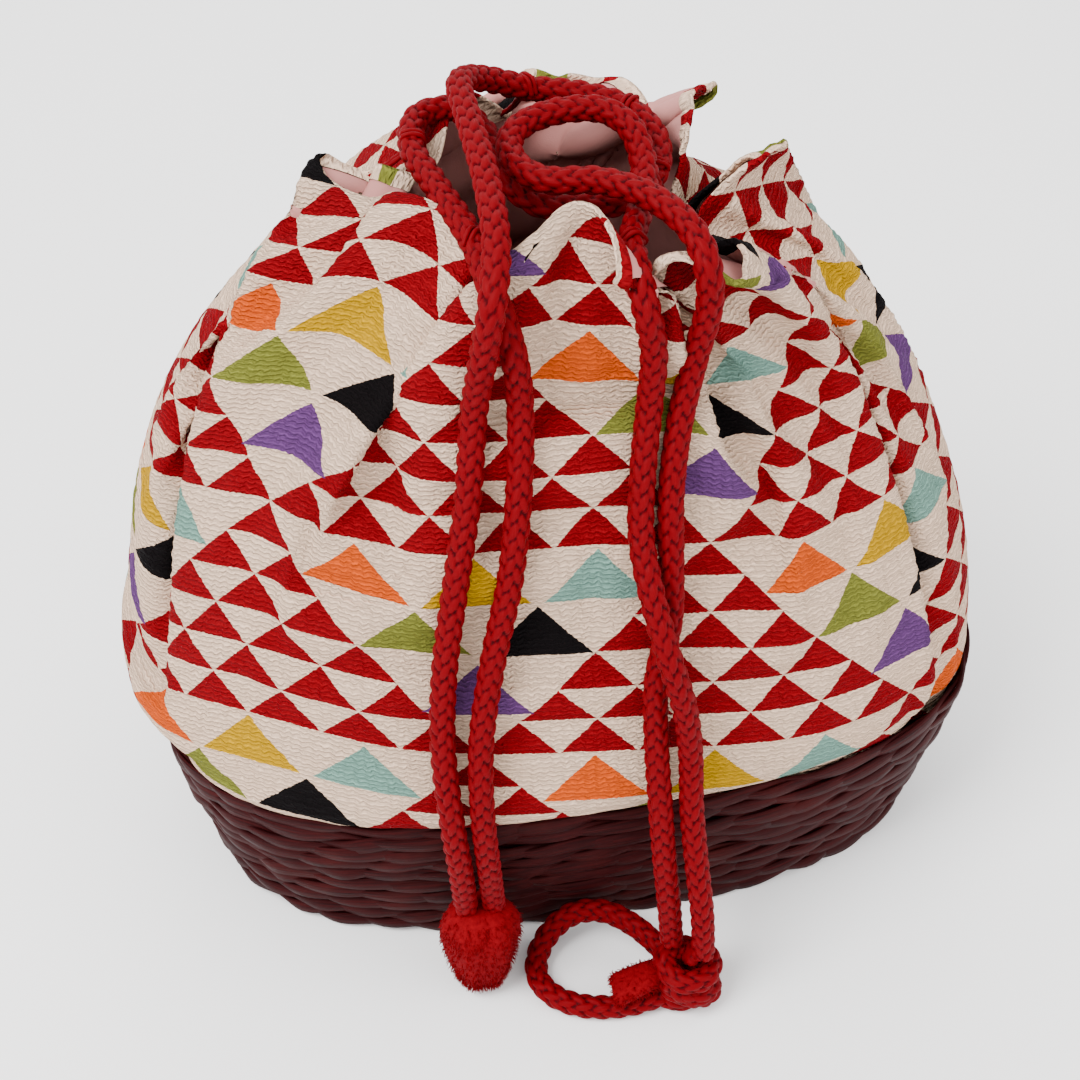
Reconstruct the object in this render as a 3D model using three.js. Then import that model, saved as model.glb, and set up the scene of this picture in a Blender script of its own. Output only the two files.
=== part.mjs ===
// Kinchaku drawstring pouch: a low woven basket, a gathered cloth bag sewn inside its rim, and two drawcords.
// Millimetres, +Z up. The origin is the middle of the basket's underside; +X runs along the basket's long side
// and -Y is the front, where the cords' ends hang.
import * as THREE from 'three';

// ---- driving dimensions -------------------------------------------------------------------------------------
const AROUND = 72;                 // stations round the basket and the cloth

const BASE_HALF = [101, 60];       // half length and half depth of the basket where it stands
const BASKET_POWER = 2.7;          // 2 would be an ellipse, more is squarer
const BASKET_FLARE = 12;           // how far the wall leans out by its top
const BASKET_HEIGHT = 55;
const WALL_THICKNESS = 2.4;
const FLOOR_THICKNESS = 3;
const FLOOR_CLEARANCE = 0.5;

const RIM_BOTTOM = 50.5;           // the proud top strip of the weave
const RIM_TOP = 57;
const RIM_THICKNESS = 1.6;

const GAP = 0.3;                   // between pieces that touch
const CLOTH_THICKNESS = 1.2;
const LINING_THICKNESS = 0.6;
const LINING_GAP = 1.8;            // between the cloth and its lining, level
const HEM = 4;                     // the lining stops this far under the cloth's top edge

const CORD_DIAMETER = 6;
const CORD_SIDES = 8;
const CORD_STEP = 16;              // length of one straight facet of a cord
const LOOP_DIAMETER = 1.8;
const LOOP_SIDES = 6;
const LOOP_START = 2.2;            // from the cloth's edge to the start of a loop
const LOOP_END_GAP = 0.5;

// ---- the cloth's shape --------------------------------------------------------------------------------------
// Sections of the bag from the seam inside the basket up to its shoulder:
// height, half length, half depth, middle x, middle y, power of the outline.
const BAG_SECTIONS = [
  [47, 108.0, 67.0, 0, 0, 2.7],
  [57.4, 109.4, 68.4, 0, 0, 2.7],
  [61, 114.6, 73.4, 0, 0, 2.65],
  [66, 117, 76, -0.5, 0, 2.6],
  [78, 116, 74, -2, 0, 2.5],
  [100, 109, 68.3, -3.7, 0, 2.4],
  [124, 101, 61, -6, 0, 2.25],
  [148, 91.5, 54.7, -7.6, 0.2, 2.1],
  [170, 78, 48, -8, 1, 2.0],
];

// The top edge goes out to a petal and back to a loop in turn. Each row: angle round the mouth in degrees,
// distance from the mouth's middle, height.
const MOUTH_MIDDLE = [-3, 0];
const PETALS = [
  [-48, 52, 200], [-3, 51, 201], [22, 41, 205], [78, 42, 197],
  [125, 41, 204], [173, 58, 204], [268, 38, 212],
];
const VALLEYS = [
  [-72, 36, 191], [-22, 37, 192], [8, 36, 193], [45, 35, 192],
  [104, 35, 192], [150, 45, 193], [225, 38, 190],
];
const TOP_ROWS = 3;                // rows of the loft from the shoulder to the top edge
const PETAL_BULGE = 3;             // how far the petals' sides bow outward below the edge

// ---- the cords' routes --------------------------------------------------------------------------------------
// Each drawcord is one piece: up the front from its end, once round the mouth and back down the front.
const LEFT_ROUTE = [
  [-32, -76, 33], [-33.5, -79.5, 53.5], [-34.5, -78.5, 73], [-33.5, -73.5, 93], [-29.5, -67.5, 112.5],
  [-24.5, -62.5, 132.5], [-21.5, -57, 152], [-20, -51, 171.5], [-21.5, -50.5, 187], [-24.5, -45.5, 197.5],
  [-26.5, -29.5, 201], [-31.5, -11, 203.5], [-35, 6, 204.5], [-31.5, 18, 205], [-23, 20.5, 204.5],
  [-17.5, 12, 202.5], [-15, -3.5, 199.5], [-8, -12, 197], [3, -13.5, 196.5], [13, -11, 196.5],
  [19.5, -3.5, 198], [21.5, 7, 200.5], [17.5, 17, 202.5], [8, 24, 203.5], [-4, 26, 205],
  [-16, 22.5, 210.5], [-22.5, 13.5, 215], [-23, -4.5, 215], [-22.5, -25, 212.5], [-23.5, -44, 208.5],
  [-26, -54, 201.5], [-28, -54, 189], [-30, -50.5, 171.5], [-32.5, -55.5, 152.5], [-36.5, -61, 132.5],
  [-40.5, -66.5, 112], [-42.5, -72, 92], [-42, -78, 72], [-40.5, -79.5, 53.5], [-39, -76, 33],
];
const RIGHT_ROUTE = [
  [12.5, -86.5, 21.2], [11, -86.5, 37.5], [9.5, -84.5, 54], [8.5, -81, 70.5], [8, -76, 86.5],
  [8.5, -71, 102.5], [12, -66.5, 118], [12.5, -62, 133.5], [13, -57, 149], [15.5, -51.5, 164],
  [19, -48, 178.5], [21, -49, 192.5], [20, -48.5, 202], [18, -42, 206.5], [12, -31.5, 208.5],
  [2.5, -22, 208], [-8.5, -17, 206.5], [-13.5, -10, 206.5], [-14, -1.5, 207], [-9.5, 5, 208],
  [0, 8.5, 208.5], [9, 7, 208.5], [14, 1, 207], [15, -9.5, 203.5], [11.5, -23, 201.5],
  [6.5, -36.5, 201], [6, -45, 200], [7, -50, 193.5], [9, -50.5, 182.5], [8.5, -51, 169],
  [6.5, -56, 154], [5.5, -61.5, 139.5], [7, -70, 127], [10, -76.5, 114], [13.8, -78.3, 99],
  [15.8, -79, 83.5], [16, -82.5, 69], [17, -87, 53.5], [18.5, -91, 37], [19.5, -92, 21.2],
];
// The right cord's tail: out of the back of the knot, round on the ground and back to the knot's left side.
const TAIL_ROUTE = [
  [10.3, -80.6, 12], [5, -74, 13.2], [-2, -68.5, 13.3], [-9.5, -66.8, 11.5], [-16, -68.8, 8],
  [-20.3, -73.5, 4.4], [-21.2, -79.5, 3.2], [-18, -85.6, 3.2], [-12, -89.6, 3.2], [-5, -91.4, 3.2],
  [1, -91.7, 3.4], [6, -91.5, 4.2],
];
const TAIL_STEPS = 9;

// ---- the cords' ends ----------------------------------------------------------------------------------------
// Half outlines of turned solids, from the ground up: distance from the axis, height.
const LEFT_TASSEL_AT = [-35.6, -76];
const LEFT_TASSEL = [[0, 0], [5.5, 0], [8.8, 8], [9.4, 19], [8.6, 27], [7.2, 32.2], [0, 32.2]];
const RIGHT_KNOT_AT = [16, -89.2];
const RIGHT_KNOT = [[0, 0], [6, 0], [9, 4], [9.5, 12], [8.4, 17], [7.6, 20.3], [0, 20.3]];
const TURNED_SIDES = 12;
// The frayed tab beside the knot, seen from above, and its lower and upper height.
const RIGHT_TAB = [[5.8, -83.4], [5.8, -92.6], [1, -93.2], [-3.8, -89.6], [-3.2, -86], [1, -83.2]];
const RIGHT_TAB_BOTTOM = 7.5;
const RIGHT_TAB_TOP = 13;

// ---- materials ----------------------------------------------------------------------------------------------
const FINISH = {
  basket: { color: 0x4a2a2a, roughness: 0.5, metalness: 0 },
  cloth: { color: 0xd9c9b8, roughness: 0.9, metalness: 0 },
  lining: { color: 0xb98880, roughness: 0.85, metalness: 0 },
  cord: { color: 0xa51920, roughness: 0.6, metalness: 0 },
  fuzz: { color: 0xb4161c, roughness: 0.95, metalness: 0 },
};

// ---- helpers ------------------------------------------------------------------------------------------------
const group = new THREE.Group();

function addMesh(name, geometry, finish) {
  const mesh = new THREE.Mesh(geometry, new THREE.MeshStandardMaterial(FINISH[finish]));
  mesh.name = name;
  group.add(mesh);
  return mesh;
}

// Distance from the middle to a superellipse of the given half sizes, in the direction of an angle.
function outlineRadius(angle, halfX, halfY, power) {
  const x = Math.abs(Math.cos(angle) / halfX) ** power;
  const y = Math.abs(Math.sin(angle) / halfY) ** power;
  return (x + y) ** (-1 / power);
}

function outlineRing(halfX, halfY, power, z, middleX = 0, middleY = 0) {
  const ring = [];
  for (let i = 0; i < AROUND; i += 1) {
    const angle = (2 * Math.PI * i) / AROUND;
    const radius = outlineRadius(angle, halfX, halfY, power);
    ring.push(new THREE.Vector3(middleX + radius * Math.cos(angle), middleY + radius * Math.sin(angle), z));
  }
  return ring;
}

// A closed surface through rings of points. With closed = true the last ring joins the first, which makes a
// ring-shaped body; otherwise the first and last rings are filled with a fan about their middle. Each
// four-sided patch is split along its shorter diagonal, so that nested layers are split alike.
function loft(rings, closed) {
  const count = rings[0].length;
  const points = rings.flat();
  const positions = points.flatMap((p) => [p.x, p.y, p.z]);
  const index = [];
  const strips = closed ? rings.length : rings.length - 1;
  for (let r = 0; r < strips; r += 1) {
    const low = r * count;
    const high = ((r + 1) % rings.length) * count;
    for (let i = 0; i < count; i += 1) {
      const next = (i + 1) % count;
      const [a, b, c, d] = [low + i, low + next, high + next, high + i];
      if (points[a].distanceTo(points[c]) < points[b].distanceTo(points[d])) index.push(a, b, c, a, c, d);
      else index.push(a, b, d, b, c, d);
    }
  }
  if (!closed) {
    const bottom = positions.length / 3;
    const top = bottom + 1;
    for (const ring of [rings[0], rings[rings.length - 1]]) {
      const middle = ring.reduce((sum, p) => sum.add(p), new THREE.Vector3()).divideScalar(count);
      positions.push(middle.x, middle.y, middle.z);
    }
    const last = (rings.length - 1) * count;
    for (let i = 0; i < count; i += 1) {
      const next = (i + 1) % count;
      index.push(bottom, next, i);
      index.push(top, last + i, last + next);
    }
  }
  const geometry = new THREE.BufferGeometry();
  geometry.setAttribute('position', new THREE.Float32BufferAttribute(positions, 3));
  geometry.setIndex(index);
  return geometry;
}

// A round tube along a route, as an extruded polygon.
function tubeGeometry(route, diameter, sides, steps) {
  const section = new THREE.Shape();
  for (let i = 0; i < sides; i += 1) {
    const angle = (2 * Math.PI * i) / sides;
    const x = (diameter / 2) * Math.cos(angle);
    const y = (diameter / 2) * Math.sin(angle);
    if (i === 0) section.moveTo(x, y);
    else section.lineTo(x, y);
  }
  section.closePath();
  const path = new THREE.CatmullRomCurve3(route);
  return new THREE.ExtrudeGeometry(section, { steps, bevelEnabled: false, extrudePath: path });
}

const asVectors = (points) => points.map((p) => new THREE.Vector3(...p));

function turnedSolid(name, halfOutline, at, finish) {
  const profile = halfOutline.map(([radius, height]) => new THREE.Vector2(radius, height));
  const geometry = new THREE.LatheGeometry(profile, TURNED_SIDES);
  geometry.rotateX(Math.PI / 2);
  const mesh = addMesh(name, geometry, finish);
  mesh.position.set(at[0], at[1], 0);
}

// ---- the basket ---------------------------------------------------------------------------------------------
// The wall's outer outline at a height, moved outward by a margin.
function wallRing(z, margin) {
  const lean = (BASKET_FLARE * z) / BASKET_HEIGHT + margin;
  return outlineRing(BASE_HALF[0] + lean, BASE_HALF[1] + lean, BASKET_POWER, z);
}

function addBasket() {
  const wall = [
    wallRing(0, 0), wallRing(BASKET_HEIGHT / 2, 0), wallRing(BASKET_HEIGHT, 0),
    wallRing(BASKET_HEIGHT, -WALL_THICKNESS), wallRing(BASKET_HEIGHT / 2, -WALL_THICKNESS),
    wallRing(0, -WALL_THICKNESS),
  ];
  addMesh('basket_wall', loft(wall, true), 'basket');

  const inner = WALL_THICKNESS + FLOOR_CLEARANCE;
  const floor = [wallRing(0, -inner), wallRing(FLOOR_THICKNESS, -inner)];
  addMesh('basket_floor', loft(floor, false), 'basket');

  const rim = [
    wallRing(RIM_BOTTOM, GAP), wallRing(RIM_BOTTOM, GAP + RIM_THICKNESS),
    wallRing(RIM_TOP, GAP + RIM_THICKNESS), wallRing(RIM_TOP, GAP),
  ];
  addMesh('basket_rim', loft(rim, true), 'basket');
}

// ---- the cloth and its lining -------------------------------------------------------------------------------
// Value of the top edge at an angle: it swings smoothly from each petal to the next valley and back.
function topEdgeAt(angle) {
  const turn = 360;
  const marks = [...PETALS, ...VALLEYS].map(([at, reach, z]) => [(at + turn) % turn, reach, z]);
  marks.sort((a, b) => a[0] - b[0]);
  const degrees = ((angle * 180) / Math.PI + turn) % turn;
  let after = marks.findIndex((mark) => mark[0] > degrees);
  if (after < 0) after = marks.length;
  const from = marks[(after - 1 + marks.length) % marks.length];
  const to = marks[after % marks.length];
  const span = (to[0] - from[0] + turn) % turn;
  const part = ((degrees - from[0] + turn) % turn) / span;
  const smooth = (1 - Math.cos(Math.PI * part)) / 2;
  const reach = from[1] + (to[1] - from[1]) * smooth;
  const z = from[2] + (to[2] - from[2]) * smooth;
  return new THREE.Vector3(
    MOUTH_MIDDLE[0] + reach * Math.cos(angle),
    MOUTH_MIDDLE[1] + reach * Math.sin(angle),
    z,
  );
}

function bagRings() {
  const rings = BAG_SECTIONS.map(([z, halfX, halfY, x, y, power]) => outlineRing(halfX, halfY, power, z, x, y));
  const shoulder = rings[rings.length - 1];
  for (let row = 1; row <= TOP_ROWS; row += 1) {
    const part = row / TOP_ROWS;
    rings.push(shoulder.map((low, i) => {
      const angle = (2 * Math.PI * i) / AROUND;
      const high = topEdgeAt(angle);
      const point = low.clone().lerp(high, part);
      const bow = PETAL_BULGE * Math.sin(Math.PI * part);
      return point.add(new THREE.Vector3(bow * Math.cos(angle), bow * Math.sin(angle), 0));
    }));
  }
  return rings;
}

// The rings moved level towards the middle by a depth.
function sunkRings(rings, depth) {
  return rings.map((ring) => ring.map((point, i) => {
    const angle = (2 * Math.PI * i) / AROUND;
    return new THREE.Vector3(
      point.x - depth * Math.cos(angle),
      point.y - depth * Math.sin(angle),
      point.z,
    );
  }));
}

// The shell between two depths inside the bag's surface, all the way round.
function bagShell(rings, outerDepth, innerDepth) {
  return loft([...sunkRings(rings, outerDepth), ...sunkRings(rings, innerDepth).reverse()], true);
}

// One sewn panel of that shell: its stations run from one side seam to the next.
function bagPanel(rings, firstStation, lastStation, depth) {
  const outer = rings;
  const inner = sunkRings(rings, depth);
  const rows = rings.length;
  const columns = lastStation - firstStation + 1;
  const positions = [];
  for (const layer of [outer, inner]) {
    for (const ring of layer) {
      for (let c = 0; c < columns; c += 1) positions.push(...ring[(firstStation + c) % AROUND].toArray());
    }
  }
  const at = (layer, row, column) => (layer * rows + row) * columns + column;
  const corner = (k) => new THREE.Vector3().fromArray(positions, 3 * k);
  const index = [];
  const patch = (a, b, c, d) => {
    if (corner(a).distanceTo(corner(c)) < corner(b).distanceTo(corner(d))) index.push(a, b, c, a, c, d);
    else index.push(a, b, d, b, c, d);
  };
  for (let c = 0; c < columns - 1; c += 1) {
    for (let r = 0; r < rows - 1; r += 1) {
      patch(at(0, r, c), at(0, r, c + 1), at(0, r + 1, c + 1), at(0, r + 1, c));
      patch(at(1, r + 1, c), at(1, r + 1, c + 1), at(1, r, c + 1), at(1, r, c));
    }
    patch(at(1, 0, c), at(1, 0, c + 1), at(0, 0, c + 1), at(0, 0, c));
    patch(at(0, rows - 1, c), at(0, rows - 1, c + 1), at(1, rows - 1, c + 1), at(1, rows - 1, c));
  }
  const last = columns - 1;
  for (let r = 0; r < rows - 1; r += 1) {
    patch(at(1, r, 0), at(0, r, 0), at(0, r + 1, 0), at(1, r + 1, 0));
    patch(at(0, r, last), at(1, r, last), at(1, r + 1, last), at(0, r + 1, last));
  }
  const geometry = new THREE.BufferGeometry();
  geometry.setAttribute('position', new THREE.Float32BufferAttribute(positions, 3));
  geometry.setIndex(index);
  return geometry;
}

// The same rings with the last one drawn back from the edge.
function shortened(rings, distance) {
  const last = rings.length - 1;
  const edge = rings[last].map((point, i) => {
    const back = rings[last - 1][i].clone().sub(point);
    return point.clone().addScaledVector(back.normalize(), distance);
  });
  return [...rings.slice(0, last), edge];
}

function addBag() {
  const rings = bagRings();
  const half = AROUND / 2;
  addMesh('outer_cloth_back', bagPanel(rings, 0, half, CLOTH_THICKNESS), 'cloth');
  addMesh('outer_cloth_front', bagPanel(rings, half, AROUND, CLOTH_THICKNESS), 'cloth');
  const top = CLOTH_THICKNESS + LINING_GAP;
  const lining = bagShell(shortened(rings, HEM), top, top + LINING_THICKNESS);
  addMesh('lining_cloth', lining, 'lining');
}

// ---- the cords ----------------------------------------------------------------------------------------------
function addCord(name, route, steps) {
  addMesh(name, tubeGeometry(asVectors(route), CORD_DIAMETER, CORD_SIDES, steps), 'cord');
}

function stepsFor(route) {
  return Math.round(new THREE.CatmullRomCurve3(asVectors(route)).getLength() / CORD_STEP);
}

// The thin doubled cords that tie the cloth's valleys to the drawcords, each aimed at the nearest drawcord.
function addCordLoops() {
  const drawcords = [LEFT_ROUTE, RIGHT_ROUTE].flatMap((route) => (
    new THREE.CatmullRomCurve3(asVectors(route)).getSpacedPoints(400)
  ));
  VALLEYS.forEach(([degrees], n) => {
    const root = topEdgeAt((degrees * Math.PI) / 180);
    const distance = (p) => p.distanceTo(root);
    const target = drawcords.reduce((best, p) => (distance(p) < distance(best) ? p : best));
    const direction = target.clone().sub(root).normalize();
    const start = root.clone().addScaledVector(direction, LOOP_START);
    const stop = CORD_DIAMETER / 2 + LOOP_DIAMETER / 2 + LOOP_END_GAP;
    const end = target.clone().addScaledVector(direction, -stop);
    const name = `cord_loop_${String(n + 1).padStart(2, '0')}`;
    addMesh(name, tubeGeometry([start, end], LOOP_DIAMETER, LOOP_SIDES, 2), 'cord');
  });
}

function addCordEnds() {
  turnedSolid('end_tassel_left', LEFT_TASSEL, LEFT_TASSEL_AT, 'fuzz');
  turnedSolid('end_knot_right', RIGHT_KNOT, RIGHT_KNOT_AT, 'cord');
  const outline = new THREE.Shape(RIGHT_TAB.map(([x, y]) => new THREE.Vector2(x, y)));
  const tab = new THREE.ExtrudeGeometry(outline, {
    depth: RIGHT_TAB_TOP - RIGHT_TAB_BOTTOM,
    bevelEnabled: false,
  });
  addMesh('end_tab_right', tab, 'fuzz').position.z = RIGHT_TAB_BOTTOM;
}

// ---- assembly -----------------------------------------------------------------------------------------------
addBasket();
addBag();
addCord('draw_cord_left', LEFT_ROUTE, stepsFor(LEFT_ROUTE));
addCord('draw_cord_right', RIGHT_ROUTE, stepsFor(RIGHT_ROUTE));
addCord('end_loop_right', TAIL_ROUTE, TAIL_STEPS);
addCordLoops();
addCordEnds();

export default group;
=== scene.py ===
"""Looks of the kinchaku drawstring pouch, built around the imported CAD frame. Metres, +Z up."""

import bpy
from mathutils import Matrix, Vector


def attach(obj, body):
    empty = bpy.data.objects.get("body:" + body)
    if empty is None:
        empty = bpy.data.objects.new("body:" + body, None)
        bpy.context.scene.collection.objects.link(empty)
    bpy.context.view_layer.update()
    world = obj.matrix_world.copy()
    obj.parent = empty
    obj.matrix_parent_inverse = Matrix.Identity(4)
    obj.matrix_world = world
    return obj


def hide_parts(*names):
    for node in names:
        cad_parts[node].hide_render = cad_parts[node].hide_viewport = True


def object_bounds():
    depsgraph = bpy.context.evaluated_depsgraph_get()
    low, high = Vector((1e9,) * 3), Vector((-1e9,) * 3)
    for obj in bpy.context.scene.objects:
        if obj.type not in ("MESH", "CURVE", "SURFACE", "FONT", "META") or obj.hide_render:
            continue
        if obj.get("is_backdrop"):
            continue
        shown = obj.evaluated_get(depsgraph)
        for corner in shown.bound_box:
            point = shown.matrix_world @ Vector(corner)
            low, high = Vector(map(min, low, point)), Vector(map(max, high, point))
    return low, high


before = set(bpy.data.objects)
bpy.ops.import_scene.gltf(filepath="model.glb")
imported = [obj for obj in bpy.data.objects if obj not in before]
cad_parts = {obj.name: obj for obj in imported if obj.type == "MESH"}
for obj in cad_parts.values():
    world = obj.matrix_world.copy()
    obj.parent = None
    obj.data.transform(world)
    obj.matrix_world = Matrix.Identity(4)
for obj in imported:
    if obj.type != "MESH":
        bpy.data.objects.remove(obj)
cad_low, cad_high = (list(map(float, corner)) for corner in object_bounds())

import math

import bpy
import numpy as np
from mathutils import Vector
from mathutils.bvhtree import BVHTree
from mathutils.kdtree import KDTree

MM = 0.001
RNG = np.random.default_rng(7)

# ---- driving values ----
CAMERA_AZIMUTH = math.radians(-10)
CAMERA_ELEVATION = math.radians(42)
CAMERA_DISTANCE = 0.4914
CAMERA_LENS = 61.4                  # mm on a 36 mm sensor
CAMERA_TARGET_X = -0.0067
CAMERA_TARGET_HEIGHT = 0.395        # of the pouch's height

CORD_DIAMETER = 6 * MM
BASKET_POWER = 2.7                  # the basket's outline is a superellipse of this power
LOOP_DIAMETER = 1.1 * MM

# The drawcords' routes, in millimetres, as in the CAD part; the tail's two ends run on into the knot.
LEFT_ROUTE = [
    (-32, -76, 33), (-33.5, -79.5, 53.5), (-34.5, -78.5, 73), (-33.5, -73.5, 93), (-29.5, -67.5, 112.5),
    (-24.5, -62.5, 132.5), (-21.5, -57, 152), (-20, -51, 171.5), (-21.5, -50.5, 187), (-24.5, -45.5, 197.5),
    (-26.5, -29.5, 201), (-31.5, -11, 203.5), (-35, 6, 204.5), (-31.5, 18, 205), (-23, 20.5, 204.5),
    (-17.5, 12, 202.5), (-15, -3.5, 199.5), (-8, -12, 197), (3, -13.5, 196.5), (13, -11, 196.5),
    (19.5, -3.5, 198), (21.5, 7, 200.5), (17.5, 17, 202.5), (8, 24, 203.5), (-4, 26, 205),
    (-16, 22.5, 210.5), (-22.5, 13.5, 215), (-23, -4.5, 215), (-22.5, -25, 212.5), (-23.5, -44, 208.5),
    (-26, -54, 201.5), (-28, -54, 189), (-30, -50.5, 171.5), (-32.5, -55.5, 152.5), (-36.5, -61, 132.5),
    (-40.5, -66.5, 112), (-42.5, -72, 92), (-42, -78, 72), (-40.5, -79.5, 53.5), (-39, -76, 33),
]
RIGHT_ROUTE = [
    (12.5, -86.5, 21.2), (11, -86.5, 37.5), (9.5, -84.5, 54), (8.5, -81, 70.5), (8, -76, 86.5),
    (8.5, -71, 102.5), (12, -66.5, 118), (12.5, -62, 133.5), (13, -57, 149), (15.5, -51.5, 164),
    (19, -48, 178.5), (21, -49, 192.5), (20, -48.5, 202), (18, -42, 206.5), (12, -31.5, 208.5),
    (2.5, -22, 208), (-8.5, -17, 206.5), (-13.5, -10, 206.5), (-14, -1.5, 207), (-9.5, 5, 208),
    (0, 8.5, 208.5), (9, 7, 208.5), (14, 1, 207), (15, -9.5, 203.5), (11.5, -23, 201.5),
    (6.5, -36.5, 201), (6, -45, 200), (7, -50, 193.5), (9, -50.5, 182.5), (8.5, -51, 169),
    (6.5, -56, 154), (5.5, -61.5, 139.5), (7, -70, 127), (10, -76.5, 114), (13.8, -78.3, 99),
    (15.8, -79, 83.5), (16, -82.5, 69), (17, -87, 53.5), (18.5, -91, 37), (19.5, -92, 21.2),
]
TAIL_ROUTE = [
    (12.4, -84.0, 11.6), (10.3, -80.6, 12), (5, -74, 13.2), (-2, -68.5, 13.3), (-9.5, -66.8, 11.5),
    (-16, -68.8, 8), (-20.3, -73.5, 4.4), (-21.2, -79.5, 3.2), (-18, -85.6, 3.2), (-12, -89.6, 3.2),
    (-5, -91.4, 3.2), (1, -91.7, 3.4), (6, -91.5, 4.2), (10.5, -90.6, 5.0),
]

# sRGB colours of the print and the other finishes.
CREAM = (0.850, 0.725, 0.625)
RED = (0.475, 0.000, 0.050)
ORANGE = (0.780, 0.300, 0.055)
YELLOW = (0.700, 0.530, 0.000)
GREEN = (0.430, 0.440, 0.170)
AQUA = (0.430, 0.570, 0.520)
PURPLE = (0.350, 0.210, 0.400)
BLACK = (0.045, 0.030, 0.035)
LINING_THREAD, LINING_PINK, LINING_PATCH = (0.680, 0.460, 0.440), (0.700, 0.460, 0.430), (0.620, 0.450, 0.430)
# The cord's hollow colour is painted shade for the hollows between the stitches.
CORD_HOLLOW_SHADE, CORD_RED = (0.190, 0.000, 0.018), (0.390, 0.000, 0.035)
# The cord's filament colour is a painted sheen highlight along the stitches' filaments; its patch colour is
# real uneven tone.
CORD_FILAMENT_SHEEN, CORD_PATCH = (0.520, 0.020, 0.060), (0.370, 0.000, 0.030)
BASKET_DARK, BASKET_BROWN, BASKET_PATCH = (0.115, 0.020, 0.026), (0.205, 0.050, 0.055), (0.240, 0.075, 0.070)
FIBRE_DARK, FIBRE_PALE = (0.290, 0.000, 0.025), (0.500, 0.010, 0.055)
FLOOR_WHITE = (0.985, 0.982, 0.982)


# ---- helpers: colour, nodes, meshes ----
def linear(colour, alpha=1.0):
    """Scene-linear RGBA of an sRGB colour."""
    low = [c / 12.92 if c <= 0.04045 else ((c + 0.055) / 1.055) ** 2.4 for c in colour]
    return (*low, alpha)


class Nodes:
    """Short names for building one material's node tree."""

    def __init__(self, name):
        self.material = bpy.data.materials.new(name)
        self.material.use_nodes = True
        self.tree = self.material.node_tree
        self.bsdf = self.tree.nodes["Principled BSDF"]

    def node(self, kind, **settings):
        made = self.tree.nodes.new(kind)
        for key, value in settings.items():
            setattr(made, key, value)
        return made

    def feed(self, value, socket):
        """Puts a constant on a socket, or links another node's output to it."""
        if isinstance(value, (int, float, tuple)):
            socket.default_value = value
        else:
            self.tree.links.new(value, socket)

    def output(self, kind, values, **settings):
        """The first output of a new node whose first inputs take the values."""
        made = self.node(kind, **settings)
        for value, socket in zip(values, made.inputs):
            self.feed(value, socket)
        return made.outputs[0]

    def math(self, operation, *values):
        return self.output("ShaderNodeMath", values, operation=operation)

    def times(self, first, second):
        return self.math("MULTIPLY", first, second)

    def plus(self, first, second):
        return self.math("ADD", first, second)

    def minus(self, first, second):
        return self.math("SUBTRACT", first, second)

    def mix(self, factor, first, second):
        made = self.node("ShaderNodeMix", data_type="RGBA")
        for value, socket in ((factor, 0), (first, 6), (second, 7)):
            self.feed(value, made.inputs[socket])
        return made.outputs[2]

    def smooth(self, value, low, high, to_low=0.0, to_high=1.0):
        return self.output("ShaderNodeMapRange", (value, low, high, to_low, to_high),
                           interpolation_type="SMOOTHSTEP")

    def noise(self, vector, scale, detail=2.0, roughness=0.5):
        made = self.node("ShaderNodeTexNoise")
        values = {"Vector": vector, "Scale": scale, "Detail": detail, "Roughness": roughness}
        for socket, value in values.items():
            self.feed(value, made.inputs[socket])
        return made.outputs[0]

    def flat_noise(self, u, v, across, up, detail=2.0, roughness=0.5):
        """Noise over two values, each multiplied by its own factor."""
        return self.noise(self.combine(self.times(u, across), self.times(v, up)), 1.0, detail, roughness)

    def object_noise(self, scale, detail=2.0, roughness=0.5):
        return self.noise(self.node("ShaderNodeTexCoord").outputs["Object"], scale, detail, roughness)

    def combine(self, x, y):
        return self.output("ShaderNodeCombineXYZ", (x, y, 0.0))

    def uv(self, name):
        made = self.node("ShaderNodeUVMap", uv_map=name)
        split = self.node("ShaderNodeSeparateXYZ")
        self.feed(made.outputs[0], split.inputs[0])
        return split.outputs[0], split.outputs[1]

    def bump(self, height, distance, strength=1.0):
        made = self.node("ShaderNodeBump")
        for value, socket in ((strength, "Strength"), (distance, "Distance"), (height, "Height")):
            self.feed(value, made.inputs[socket])
        self.feed(made.outputs[0], self.bsdf.inputs["Normal"])

    def set(self, **values):
        for key, value in values.items():
            self.feed(value, self.bsdf.inputs[key.replace("_", " ")])


def make_mesh(name, points, faces, material, uv=None, uv_name="surface", smooth=True):
    """A mesh object from an array of points, faces of any size, and optional per-corner UVs."""
    mesh = bpy.data.meshes.new(name)
    mesh.from_pydata(np.asarray(points).tolist(), [], [list(map(int, f)) for f in faces])
    if uv is not None:
        layer = mesh.uv_layers.new(name=uv_name)
        layer.data.foreach_set("uv", np.asarray(uv, dtype=np.float32).ravel())
    mesh.polygons.foreach_set("use_smooth", [smooth] * len(mesh.polygons))
    mesh.materials.append(material)
    mesh.update()
    made = bpy.data.objects.new(name, mesh)
    bpy.context.scene.collection.objects.link(made)
    return made


def grid_faces(rows, columns, ring=False):
    """Four-sided faces of a grid of points stored row by row, whose last column joins the first; with ring,
    its last row joins the first as well."""
    row = np.arange(rows if ring else rows - 1)[:, None]
    column = np.arange(columns)[None, :]
    low, high = row * columns, (row + 1) % rows * columns
    beside = (column + 1) % columns
    faces = np.stack(np.broadcast_arrays(low + column, low + beside, high + beside, high + column), axis=-1)
    return faces.reshape(-1, 4)


def end_faces(rows, columns, offset=0):
    """The two flat faces that close a tube of rings whose first point has the number offset."""
    last = offset + (rows - 1) * columns
    return [list(range(offset, offset + columns))[::-1], list(range(last, last + columns))]


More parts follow.
